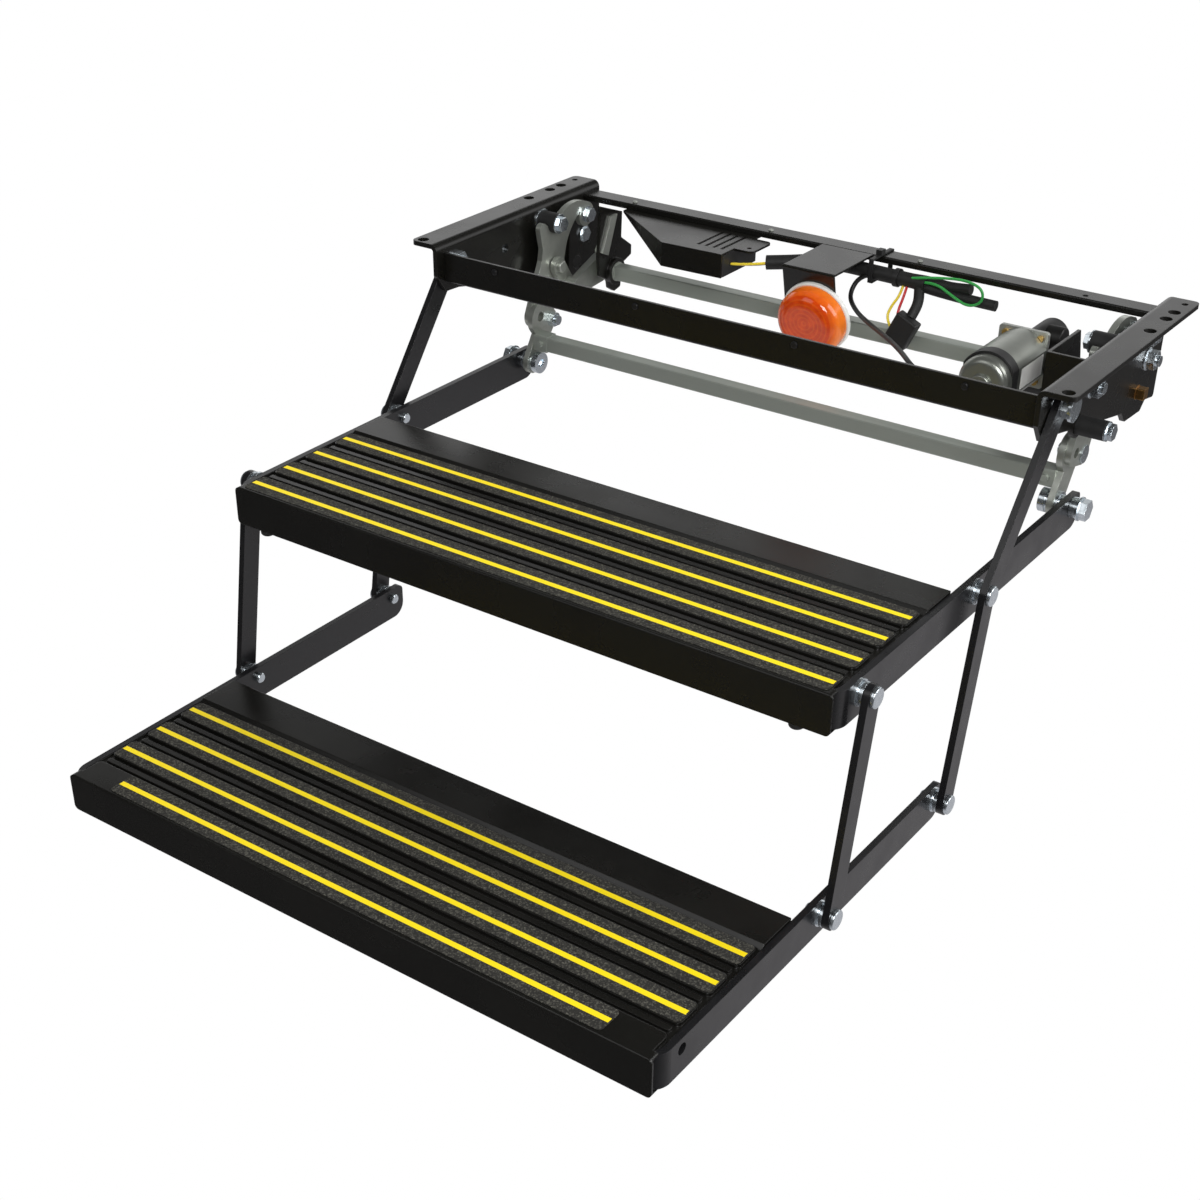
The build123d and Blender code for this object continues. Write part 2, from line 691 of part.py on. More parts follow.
def rear_link_fasteners():
    """Joint bolt of plate and fork, and the stepped pivot bolt at the upper arm."""
    joint = disc(joint_bolt, pin_radius, plate_inner - nut_height - thread_end, fork_outer)
    joint += disc(joint_bolt, bolt_flange_radius, fork_outer, fork_outer + washer_height)
    joint_nut = nut(joint_bolt, small_hexagon, plate_inner - nut_height, nut_height)
    hub_from = plate_inner - hub_length
    hex_from = arm_outer + cap_height + washer_height
    pivot = disc(upper_rear, pin_radius, hub_from, hex_from)
    pivot += disc(upper_rear, hub_radius, hub_from, plate_inner - spool_rim)
    pivot += disc(upper_rear, washer_radius, plate_inner - spool_rim, plate_inner)
    pivot += disc(upper_rear, spool_rim_radius, hex_from - washer_height, hex_from)
    pivot += hexagon(upper_rear, large_hexagon, hex_from, hex_from + cap_height)
    pivot -= hexagon(upper_rear, socket_hexagon, hub_from - cut_margin, hub_from + hub_socket_depth)
    collar = disc(upper_rear, spool_rim_radius, plate_outer, plate_outer + spool_rim)
    collar += disc(upper_rear, spool_radius, plate_outer + spool_rim, arm_inner - face_gap)
    collar -= bore(upper_rear, bore_radius, plate_outer, arm_inner)
    outside = disc(upper_rear, washer_radius, arm_outer + face_gap, hex_from - washer_height)
    outside -= bore(upper_rear, bore_radius, arm_outer, hex_from)
    return group(joint, joint_nut, pivot, collar, outside)


def tie_bar():
    """Square bar that joins the two rear links, with a larger pinned block at each end."""
    y, z = tie_bar_center
    half = tie_bar_side / 2
    body = block(-plate_inner, plate_inner, y - half, y + half, z - half, z + half)
    body = chamfer(body.edges().filter_by(Axis.X), torque_bar_edge)
    half = tie_block_side / 2
    end = block(plate_inner - tie_block_length, plate_inner, y - half, y + half, z - half, z + half)
    end = chamfer(end.edges().filter_by(Axis.X), torque_bar_edge)
    pin = Pos(plate_inner - tie_block_length / 2, y - half, z) * Rot(90, 0, 0) * Cylinder(
        tie_pin_radius, 2 * tie_pin_height)
    end += pin
    return body + end + mirror(end, about=Plane.YZ)


def torque_bar():
    """Square bar from crank to crank, turned round where it runs in the hanger and the gearbox."""
    square = Pos(*crank_axis) * Rectangle(torque_bar_side, torque_bar_side)
    left_journal = (-hanger_outer - journal_margin, -hanger_boss_end + journal_margin)
    right_journal = (gearbox_left - journal_margin, bracket_wall_outer + journal_margin)
    body = layer(square, -crank_outer, left_journal[0]) + layer(square, left_journal[1], right_journal[0])
    body += layer(square, right_journal[1], crank_outer)
    body = chamfer(body.edges().filter_by(Axis.X), torque_bar_edge)
    for journal in (left_journal, right_journal):
        body += disc(crank_axis, journal_radius, *journal)
    return body


def crank():
    """Right crank: a tapered plate keyed on the square of the bar, with its collar and drive pin."""
    outline = hull((crank_axis, crank_hub_radius), (crank_pin, crank_end_radius))
    body = layer(outline, crank_inner, crank_outer)
    key = torque_bar_side + 2 * running_clearance
    body -= layer(Pos(*crank_axis) * Rectangle(key, key), crank_inner - cut_margin, crank_outer + cut_margin)
    body += disc(crank_pin, crank_collar_radius, crank_outer, drive_link_inner - face_gap)
    return body + disc(crank_pin, pin_radius, crank_outer, drive_link_outer)


def drive_link():
    """Right drive link from the crank pin to the fork."""
    body = layer(slot(crank_pin, drive_eye, drive_link_width), drive_link_inner, drive_link_outer)
    body -= bore(crank_pin, bore_radius, drive_link_inner, drive_link_outer)
    head = disc(drive_eye, drive_pin_head_radius, drive_link_inner - drive_pin_head_height, drive_link_inner)
    return body + fillet(head.edges().sort_by(Axis.X)[0], rivet_edge)


def outer_stop_sleeve():
    """Rubber sleeve outside the web that the long link meets when folded."""
    body = disc(outer_stop, outer_stop_radius, web_outer, outer_stop_tip)
    return body - bore(outer_stop, bore_radius, web_outer, outer_stop_tip)


def inner_stop_sleeve():
    """Rubber sleeve inside the web, under which the fork rests when the step is out."""
    tip = web_inner - washer_height
    return disc(inner_stop, inner_stop_radius, inner_stop_tip, tip) - bore(inner_stop, bore_radius,
                                                                           inner_stop_tip, tip)


def stop_bolts():
    """Bolts and washers of the two stop sleeves."""
    outer_hex = outer_stop_tip + washer_height
    outer = disc(outer_stop, pin_radius, web_inner - thread_end, outer_stop_tip)
    outer += disc(outer_stop, outer_stop_radius, outer_stop_tip, outer_hex)
    outer += hexagon(outer_stop, small_hexagon, outer_hex, outer_hex + head_height)
    inner_hex = inner_stop_tip - washer_height
    inner = disc(inner_stop, pin_radius, inner_stop_tip, web_outer + thread_end)
    inner += disc(inner_stop, inner_stop_radius, inner_hex, inner_stop_tip)
    inner += hexagon(inner_stop, small_hexagon, inner_hex - head_height, inner_hex)
    washer = disc(inner_stop, wide_washer_radius, web_inner - washer_height, web_inner)
    washer -= bore(inner_stop, bore_radius, web_inner - washer_height, web_inner)
    return group(outer, inner, washer)


def square_stud():
    """Brass-coloured square stud in the web, in line with the crank axis."""
    square = Pos(*crank_axis) * RectangleRounded(stud_side, stud_side, torque_bar_edge)
    shank = disc(crank_axis, stud_shank_radius, bearing_inner, web_outer)
    return layer(square, web_outer, web_outer + stud_height) + shank


def motor_bracket():
    """Folded bracket: a stepped wall beside the gearbox, a front wall and a tab bolted to the right web."""
    profile = Polygon((bracket_front, bracket_front_bottom), (bracket_front, bracket_top),
                      (bracket_step, bracket_top),
                      (crank_axis[0] - case_radius, bracket_low_top), (bracket_back, bracket_low_top),
                      (bracket_back, bracket_bottom), (crank_axis[0] - case_radius, bracket_bottom),
                      align=None)
    wall = layer(profile, bracket_wall_inner, bracket_wall_outer)
    front = block(bracket_wall_inner, bracket_face, bracket_front, bracket_front + bracket_sheet,
                  bracket_front_bottom, bracket_top)
    tab = block(bracket_face, web_inner, bracket_front - bracket_tab_width, bracket_front + bracket_sheet,
                bracket_tab_bottom, bracket_top)
    body = wall + front + tab
    body -= bore(crank_axis, journal_bore_radius, bracket_wall_inner, bracket_wall_outer)
    return body - bore(bracket_bolt, bore_radius, bracket_face, web_inner)


def gearbox():
    """Worm gearbox: a round wheel case about the torque bar, the worm's housing across it and a side cap."""
    case = disc(crank_axis, case_radius, case_left, case_right)
    case = fillet(case.edges(), case_edge)
    hub = disc(crank_axis, hub_case_radius, gearbox_left, bracket_wall_inner)
    housing = along_motor(Circle(worm_housing_radius), gearbox_front, worm_housing_back)
    housing = fillet(housing.edges().sort_by(Axis.Y)[-1], case_edge)
    side_cap = disc(side_cap_center, side_cap_radius, side_cap_left, side_cap_right)
    side_cap = chamfer(side_cap.edges().sort_by(Axis.X)[-1], torque_bar_edge)
    body = case + hub + housing + side_cap
    return body - bore(crank_axis, journal_bore_radius, gearbox_left, bracket_wall_inner)


def along_motor(sketch, y_from, y_to):
    """Piece of the motor, from a sketch square to its axis."""
    return cross_layer(Pos(motor_x, motor_z) * sketch, y_from, y_to)


def motor_can():
    """Motor can with two flats, relieved round the heads of the flange screws."""
    outline = Circle(motor_radius) & Rectangle(2 * motor_flat, 2 * motor_radius)
    pockets = at_motor_screws(motor_screw_radius + motor_screw_clearance)
    relief_front = motor_flange_y - motor_screw_height - motor_screw_clearance
    return along_motor(outline, motor_can_front, relief_front) + along_motor(
        outline - pockets, relief_front, motor_flange_y)


def motor_band():
    """Dark band between the can and the end cap."""
    outline = Circle(motor_radius) & Rectangle(2 * motor_flat, 2 * motor_radius)
    return along_motor(outline, motor_band_front, motor_can_front)


def motor_cap():
    """Rounded end cap with a bearing boss."""
    cap = along_motor(Circle(motor_flat), motor_cap_front, motor_band_front)
    cap = fillet(cap.edges().sort_by(Axis.Y)[0], motor_cap_edge)
    boss = along_motor(Circle(motor_boss_radius), motor_cap_front - motor_boss_length,
                       motor_cap_front + cut_margin)
    return cap + fillet(boss.edges().sort_by(Axis.Y)[0], rivet_edge)


def motor_flange():
    """Plate between motor and gearbox."""
    outline = RectangleRounded(motor_flange_side, motor_flange_height, case_edge)
    return along_motor(outline, motor_flange_y, gearbox_front)


def at_motor_screws(radius):
    """Circles at the four screws of the motor flange."""
    spots = [Pos(x, z) for x in (-motor_screw_x, motor_screw_x) for z in (-motor_screw_z, motor_screw_z)]
    return Sketch() + [spot * Circle(radius) for spot in spots]


def motor_screws():
    """Brass-coloured screws of the motor flange."""
    return along_motor(at_motor_screws(motor_screw_radius), motor_flange_y - motor_screw_height,
                       motor_flange_y)


def shaft_hanger():
    """Hanger that carries the left end of the torque bar, with a hook-shaped tail."""
    outline = Polygon(*hanger_outline, align=None)
    outline = fillet(outline.vertices().sort_by(Axis.Y)[:-2], hanger_corner)
    body = layer(outline, -hanger_outer, -hanger_outer + hanger_sheet)
    body += disc(crank_axis, hanger_boss_radius, -hanger_outer, -hanger_boss_end)
    return body - bore(crank_axis, journal_bore_radius, -hanger_outer, -hanger_boss_end)


def hanger_strap():
    """Zinc-plated tapered strap on the face of the hanger."""
    return layer(Polygon(*strap_outline, align=None), -hanger_outer - strap_thickness, -hanger_outer)


def tilted(shape):
    """The piece leaned back about the bend at the front of the lamp bracket."""
    bend = (0, lamp_bracket_front, rear_bar_top)
    return Pos(*bend) * Rot(lamp_tilt, 0, 0) * Pos(*(-place for place in bend)) * shape


def lamp_face(radius, y_from, y_to):
    """Round piece on the face of the lamp flange, before it is leaned back."""
    return cross_layer(Pos(lamp_x, rear_bar_top - lamp_drop) * Circle(radius), y_from, y_to)


def lamp_bracket():
    """Plate forward of the rear crossmember with a leaned flange that carries the lamp."""
    plate = block(lamp_bracket_left, lamp_bracket_right, lamp_bracket_front, rear_bar_front,
                  rear_bar_top - lamp_sheet, rear_bar_top)
    flange = block(lamp_bracket_left, lamp_bracket_right, lamp_bracket_front, lamp_bracket_front + lamp_sheet,
                   rear_bar_top - lamp_flange_height, rear_bar_top)
    flange = fillet(flange.edges().filter_by(Axis.Y).sort_by(Axis.Z)[:2], lamp_flange_corner)
    return plate + tilted(flange)


def lamp_ring():
    """White base ring of the round lamp."""
    ring = lamp_face(lamp_ring_radius, lamp_bracket_front - lamp_ring_depth, lamp_bracket_front)
    return tilted(fillet(ring.edges().sort_by(Axis.Y)[0], lamp_ring_edge))


def lamp_lens():
    """Domed amber lens."""
    base = lamp_bracket_front - lamp_ring_depth
    lens = lamp_face(lamp_radius, base - lamp_dome_depth, base)
    return tilted(fillet(lens.edges().sort_by(Axis.Y)[0], lamp_dome_edge))


def control_box():
    """Control module under the hood, with ribs on its top that show through it."""
    left = hood_front_left[0] + hood_sheet + box_clearance
    front = hood_front_right[1] + hood_sheet + box_clearance
    back = rear_bar_front - hood_sheet
    body = block(left, hood_front_right[0], front, back, hood_bottom, rear_bar_bottom - hood_sheet)
    return fillet(body.edges().filter_by(Axis.Z), box_corner)


def control_hood():
    """Sheet hood over the control module: a top with a wing and a holed tab, a front and a slanting side."""
    top = rear_bar_bottom
    plan = Polygon(hood_tip, hood_front_left, hood_front_right, (hood_front_right[0], hood_tab_front),
                   (hood_tab_right, hood_tab_front), (hood_tab_right, hood_tab_back),
                   (hood_front_right[0], hood_tab_back), (hood_front_right[0], hood_back),
                   (hood_tip[0], hood_back), align=None)
    tab_corners = plan.vertices().sort_by(Axis.X)[-2:]
    plan = fillet(tab_corners, hood_tab_corner)
    body = extrude(Plane.XY.offset(top - hood_sheet) * plan, amount=hood_sheet)
    front = Polygon(hood_front_left, hood_front_right, add(hood_front_right, (0, hood_sheet)),
                    add(hood_front_left, (0, hood_sheet)), align=None)
    body += extrude(Plane.XY.offset(hood_bottom) * front, amount=top - hood_bottom)
    side = Polygon(hood_tip, hood_front_left, add(hood_front_left, (hood_sheet, hood_sheet)),
                   add(hood_tip, (hood_sheet, hood_sheet)), align=None)
    flap = extrude(Plane.XY.offset(hood_bottom) * side, amount=top - hood_bottom)
    taper = Polygon((hood_tip[0] - cut_margin, top - hood_sheet), (hood_front_left[0], hood_bottom),
                    (hood_tip[0] - cut_margin, hood_bottom - cut_margin), align=None)
    body += flap - cross_layer(taper, hood_front_left[1] - cut_margin, hood_back)
    middle = (hood_front_left[0] + hood_front_right[0]) / 2
    for index in range(box_grooves):
        x = middle - box_groove_width + box_groove_pitch * index
        body -= block(x, x + box_groove_width, hood_tab_front - box_groove_pitch, hood_tab_back,
                      top - box_groove_depth, top + cut_margin)
    hole = (hood_tab_right - box_hole_edge, hood_tab_front + box_hole_edge)
    return body - Pos(*hole, top) * Cylinder(box_hole_radius, 4 * hood_sheet)


def wiring_loom():
    """Taped loom along the rear crossmember, its two blind sleeves and the drop to the connector."""
    parts = [tube(loom_route, loom_radius), tube(long_sleeve_route, sleeve_radius),
             tube(short_sleeve_route, sleeve_radius), tube(drop_route, drop_radius)]
    return parts[0] + parts[1] + parts[2] + parts[3]


def pigtail_wires():
    """Wires from the control module's open end into the loom."""
    wires = []
    for index in range(pigtail_count):
        offset = [step * (index - (pigtail_count - 1) / 2) for step in pigtail_pitch]
        start = [place + move for place, move in zip(pigtail_start, offset)]
        middle = [place + move for place, move in zip(pigtail_middle, offset)]
        end = [place + pigtail_gather * move for place, move in zip(pigtail_end, offset)]
        wires.append(tube([start, middle, end], wire_radius))
    return group(*wires)


def harness_connector():
    """Black connector that hangs below the loom."""
    body = fillet(Box(*connector_size).edges(), connector_corner)
    return Pos(*connector_center) * Rot(0, connector_tilt, 0) * body


def cable_ties():
    """A tie round the loom and the rear crossmember, with its head, and one round the loom alone."""
    y, z = loom_route[4][1:]
    reach = loom_radius + tie_gap
    inner = (y - reach, rear_bar_back + tie_gap, z - reach, rear_bar_top + tie_gap)
    outer = (inner[0] - tie_thickness, inner[1] + tie_thickness, inner[2] - tie_thickness,
             inner[3] + tie_thickness)
    strap = block(tie_x - tie_width / 2, tie_x + tie_width / 2, *outer)
    strap = fillet(strap.edges().filter_by(Axis.X), tie_thickness)
    strap -= block(tie_x - tie_width, tie_x + tie_width, *inner)
    head = Pos(tie_x, rear_bar_front, outer[3]) * Box(*tie_head,
                                                      align=(Align.CENTER, Align.CENTER, Align.MIN))
    ring_center = loom_route[5][1:]
    ring = disc(ring_center, reach + tie_thickness, loom_tie_x - tie_width / 2, loom_tie_x + tie_width / 2)
    ring -= disc(ring_center, reach, loom_tie_x - tie_width, loom_tie_x + tie_width)
    return group(strap + head, ring)


os.makedirs("parts", exist_ok=True)
right_hand = {
    "mount_flange": mount_flange(),
    "long_link": link([long_pivot, upper_middle, lower_rear]),
    "lower_front_link": link([upper_front, lower_middle]),
    "upper_step_arm": step_arm(upper_step, {0: bore_radius, 1: bore_radius, 2: open_bore_radius}),
    "lower_step_arm": step_arm(lower_step, {0: bore_radius, 1: bore_radius, 2: bore_radius}),
    "rear_link_plate": rear_link_plate(),
    "rear_link_fork": rear_link_fork(),
    "drive_link": drive_link(),
    "crank": crank(),
    "bearing_plate": bearing_plate(),
}
nodes = {}
for name, shape in right_hand.items():
    nodes[f"{name}_right"] = shape
    nodes[f"{name}_left"] = mirror(shape, about=Plane.YZ)

nodes["front_crossmember"] = front_crossmember()
nodes["rear_crossmember"] = rear_crossmember()
nodes["upper_tread"] = tread_panel(upper_step)
nodes["lower_tread"] = tread_panel(lower_step)
nodes["upper_grip_strips"] = grip_strips(upper_step, grip_half_length)
nodes["lower_grip_strips"] = grip_strips(lower_step, short_grip_half_length)
nodes["upper_step_pins"] = both_sides(group(link_pin(upper_front), link_pin(upper_middle)))
nodes["lower_step_pins"] = both_sides(group(link_pin(lower_middle), link_pin(lower_rear)))
nodes["long_link_bolts"] = both_sides(long_pivot_bolt())
rear_bolt = frame_bolt(rear_pivot, plate_outer - face_gap, cap_height)
nodes["rear_pivot_bolts"] = both_sides(group(rear_bolt, rear_pivot_spacer()))
nodes["frame_bolts"] = group(both_sides(frame_bolt(plate_bolt, bearing_inner, thin_head_height)),
                             frame_bolt(bracket_bolt, bracket_face, cap_height))
nodes["outer_stop_sleeves"] = both_sides(outer_stop_sleeve())
nodes["inner_stop_sleeves"] = both_sides(inner_stop_sleeve())
nodes["stop_bolts"] = both_sides(stop_bolts())
nodes["square_studs"] = both_sides(square_stud())
nodes["rear_link_fasteners"] = both_sides(rear_link_fasteners())
nodes["tie_bar"] = tie_bar()
nodes["torque_bar"] = torque_bar()
nodes["motor_bracket"] = motor_bracket()
nodes["gearbox"] = gearbox()
nodes["motor_can"] = motor_can()
nodes["motor_band"] = motor_band()
nodes["motor_cap"] = motor_cap()
nodes["motor_flange"] = motor_flange()
nodes["motor_screws"] = motor_screws()
nodes["shaft_hanger"] = shaft_hanger()
nodes["hanger_strap"] = hanger_strap()
nodes["lamp_bracket"] = lamp_bracket()
nodes["lamp_ring"] = lamp_ring()
nodes["lamp_lens"] = lamp_lens()
nodes["control_box"] = control_box()
nodes["control_hood"] = control_hood()
nodes["wiring_loom"] = wiring_loom()
nodes["lamp_cable"] = tube(lamp_cable_route, lamp_cable_radius)
nodes["earth_wire"] = tube(earth_wire_route, wire_radius)
nodes["feed_wires"] = group(tube(yellow_wire_route, wire_radius), tube(red_wire_route, wire_radius))
nodes["pigtail_wires"] = pigtail_wires()
nodes["harness_connector"] = harness_connector()
nodes["cable_ties"] = cable_ties()

foot_y = upper_step[0] + skirt_lip / 2
foot_z = upper_step[1] - skirt_height
foot = Pos(foot_x, foot_y, foot_z) * Cylinder(foot_radius, foot_height,
                                              align=(Align.CENTER, Align.CENTER, Align.MAX))
nodes["bump_feet"] = both_sides(fillet(foot.edges().sort_by(Axis.Z)[0], foot_edge))

for name, shape in nodes.items():
    export_step(shape, f"parts/{name}.step")
    print(name, len(shape.solids()), round(shape.volume))
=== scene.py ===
"""Looks of an electric camper step: paint, plating, grip tape, lamp and small trim.

Sizes are in metres, apart from those whose names end in _mm.
"""
import logging
import math
from dataclasses import dataclass
from enum import Enum

import bmesh
import bpy
from mathutils import Euler, Matrix, Vector

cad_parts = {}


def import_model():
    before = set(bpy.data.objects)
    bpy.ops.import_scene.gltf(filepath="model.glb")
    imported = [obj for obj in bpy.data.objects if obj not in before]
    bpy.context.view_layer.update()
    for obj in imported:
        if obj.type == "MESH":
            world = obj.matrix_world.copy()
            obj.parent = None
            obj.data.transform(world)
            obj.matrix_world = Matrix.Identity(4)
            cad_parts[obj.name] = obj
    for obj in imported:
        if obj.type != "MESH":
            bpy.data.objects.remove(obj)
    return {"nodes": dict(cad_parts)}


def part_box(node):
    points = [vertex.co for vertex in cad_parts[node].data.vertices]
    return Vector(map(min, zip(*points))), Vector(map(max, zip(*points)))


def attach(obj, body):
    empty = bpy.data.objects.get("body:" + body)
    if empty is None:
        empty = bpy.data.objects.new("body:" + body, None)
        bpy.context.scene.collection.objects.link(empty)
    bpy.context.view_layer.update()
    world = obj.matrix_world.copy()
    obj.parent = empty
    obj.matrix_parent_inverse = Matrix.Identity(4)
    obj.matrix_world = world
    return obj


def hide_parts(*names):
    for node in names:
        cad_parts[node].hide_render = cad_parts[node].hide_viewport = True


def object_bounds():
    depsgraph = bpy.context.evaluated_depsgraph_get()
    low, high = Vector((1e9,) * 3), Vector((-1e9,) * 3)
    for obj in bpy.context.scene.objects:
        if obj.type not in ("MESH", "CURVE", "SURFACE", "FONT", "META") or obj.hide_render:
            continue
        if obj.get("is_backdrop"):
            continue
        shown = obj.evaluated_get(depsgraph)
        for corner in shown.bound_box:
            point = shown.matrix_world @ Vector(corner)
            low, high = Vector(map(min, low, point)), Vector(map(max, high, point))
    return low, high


LOG = logging.getLogger("camper_step")
MM = 0.001
WHITE = (1.0, 1.0, 1.0, 1.0)
Spot = tuple[float, float, float]
# Steps of the sRGB curve: end of its straight part, slope there, offset and power of the rest
SRGB_TOE, SRGB_SLOPE, SRGB_OFFSET, SRGB_POWER = 0.04045, 12.92, 0.055, 2.4
# Sockets of the Mix node go by number, because its sockets for colours and numbers share their names
COLOUR_A, COLOUR_B, COLOUR_RESULT = 6, 7, 2
NUMBER_A, NUMBER_B = 2, 3
# Blender's ring pattern runs through this many radians for each unit of distance
RING_RADIANS = 20.0
# Points closer than this along an axis lie on one face
FACE_TOLERANCE = 1e-6
# What the studio lamps point at
STEP_MIDDLE: Spot = (0.0, -0.2, -0.2)


class Side(Enum):
    """Which half of the step a repeated piece belongs to."""

    RIGHT = 1.0
    LEFT = -1.0


def linear(hex_colour: str) -> tuple[float, float, float, float]:
    """Turns an sRGB hex colour into linear RGBA.

    Args:
        hex_colour: Six hex digits with a leading hash.

    Returns:
        Linear red, green, blue and an alpha of 1.
    """
    channels = [int(hex_colour[place:place + 2], 16) / 255 for place in (1, 3, 5)]
    values = [channel / SRGB_SLOPE if channel <= SRGB_TOE
              else ((channel + SRGB_OFFSET) / (1 + SRGB_OFFSET)) ** SRGB_POWER for channel in channels]
    return values[0], values[1], values[2], 1.0


def add_node(tree: bpy.types.NodeTree, kind: str, settings: dict | None = None,
             inputs: dict | None = None) -> bpy.types.Node:
    """Adds one shader node.

    Args:
        tree: The node tree that gets the node.
        kind: The node's type name.
        settings: Attributes to set on the node.
        inputs: Socket name or number to a value, or to an output socket to link from.

    Returns:
        The new node.
    """
    node = tree.nodes.new(kind)
    for key, value in (settings or {}).items():
        setattr(node, key, value)
    for key, value in (inputs or {}).items():
        if isinstance(value, bpy.types.NodeSocket):
            tree.links.new(value, node.inputs[key])
        else:
            node.inputs[key].default_value = value
    return node


@dataclass(frozen=True)
class Finish:
    """A surface finish with fine grain, slow cloudiness and softened edges."""

    name: str
    colour: str
    shade: str
    metallic: float
    roughness: float
    roughness_spread: float
    grain_mm: float
    grain_height_mm: float
    cloud_mm: float
    edge_mm: float = 0.6
    stretch: Spot = (1.0, 1.0, 1.0)
    cloud_detail: float = 4.0
    cloud_range: tuple[float, float] = (0.3, 0.7)
    grain_detail: float = 2.0
    edge_samples: int = 4

    def build(self) -> bpy.types.Material:
        """Makes the material the first time, and finds it after that.

        Returns:
            The material.
        """
        known = bpy.data.materials.get(self.name)
        if known is not None:
            return known
        material = bpy.data.materials.new(self.name)
        material.use_nodes = True
        tree = material.node_tree
        shader = tree.nodes["Principled BSDF"]
        shader.inputs["Metallic"].default_value = self.metallic
        self.dress(tree, shader)
        return material

    def dress(self, tree: bpy.types.NodeTree, shader: bpy.types.Node) -> None:
        """Adds clouds of colour and gloss, grain and softened edges.

        Args:
            tree: The material's node tree.
            shader: Its main shader.
        """
        place = add_node(tree, "ShaderNodeTexCoord")
        mapping = add_node(tree, "ShaderNodeMapping", inputs={
            "Vector": place.outputs["Object"], "Scale": self.stretch})
        cloud = add_node(tree, "ShaderNodeTexNoise", inputs={
            "Vector": mapping.outputs["Vector"], "Scale": 1 / (self.cloud_mm * MM),
            "Detail": self.cloud_detail})
        grain = add_node(tree, "ShaderNodeTexNoise", inputs={
            "Vector": mapping.outputs["Vector"], "Scale": 1 / (self.grain_mm * MM),
            "Detail": self.grain_detail})
        colour = add_node(tree, "ShaderNodeMix", {"data_type": "RGBA"}, {
            "Factor": cloud.outputs["Fac"], COLOUR_A: linear(self.colour), COLOUR_B: linear(self.shade)})
        tree.links.new(colour.outputs[COLOUR_RESULT], shader.inputs["Base Color"])
        gloss = add_node(tree, "ShaderNodeMapRange", inputs={
            "Value": cloud.outputs["Fac"],
            "From Min": self.cloud_range[0], "From Max": self.cloud_range[1],
            "To Min": self.roughness - self.roughness_spread,
            "To Max": self.roughness + self.roughness_spread})
        tree.links.new(gloss.outputs["Result"], shader.inputs["Roughness"])
        edge = add_node(tree, "ShaderNodeBevel", {"samples": self.edge_samples}, {
            "Radius": self.edge_mm * MM})
        bump = add_node(tree, "ShaderNodeBump", inputs={
            "Strength": 1.0, "Distance": self.grain_height_mm * MM, "Height": grain.outputs["Fac"],
            "Normal": edge.outputs["Normal"]})
        tree.links.new(bump.outputs["Normal"], shader.inputs["Normal"])


@dataclass(frozen=True)
class GritFinish(Finish):
    """Grip tape: mineral grains in dark resin, pale where a grain catches light."""

    grit_mm: float = 1.1
    grit_colour: str = "#77756a"
    grit_range: tuple[float, float] = (0.55, 1.0)
    grit_share: float = 0.55

    def dress(self, tree: bpy.types.NodeTree, shader: bpy.types.Node) -> None:
        """Adds grains to the base pattern; drawn coarser than real grit so that they show.

        Args:
            tree: The material's node tree.
            shader: Its main shader.
        """
        super().dress(tree, shader)
        place = add_node(tree, "ShaderNodeTexCoord")
        grains = add_node(tree, "ShaderNodeTexVoronoi", inputs={
            "Vector": place.outputs["Object"], "Scale": 1 / (self.grit_mm * MM)})
        pale = add_node(tree, "ShaderNodeMapRange", inputs={
            "Value": grains.outputs["Color"],
            "From Min": self.grit_range[0], "From Max": self.grit_range[1],
            "To Min": 0.0, "To Max": self.grit_share})
        base = shader.inputs["Base Color"].links[0].from_socket
        mixed = add_node(tree, "ShaderNodeMix", {"data_type": "RGBA"}, {
            "Factor": pale.outputs["Result"], COLOUR_A: base, COLOUR_B: linear(self.grit_colour)})
        tree.links.new(mixed.outputs[COLOUR_RESULT], shader.inputs["Base Color"])
        bump = shader.inputs["Normal"].links[0].from_node
        tree.links.new(grains.outputs["Distance"], bump.inputs["Height"])


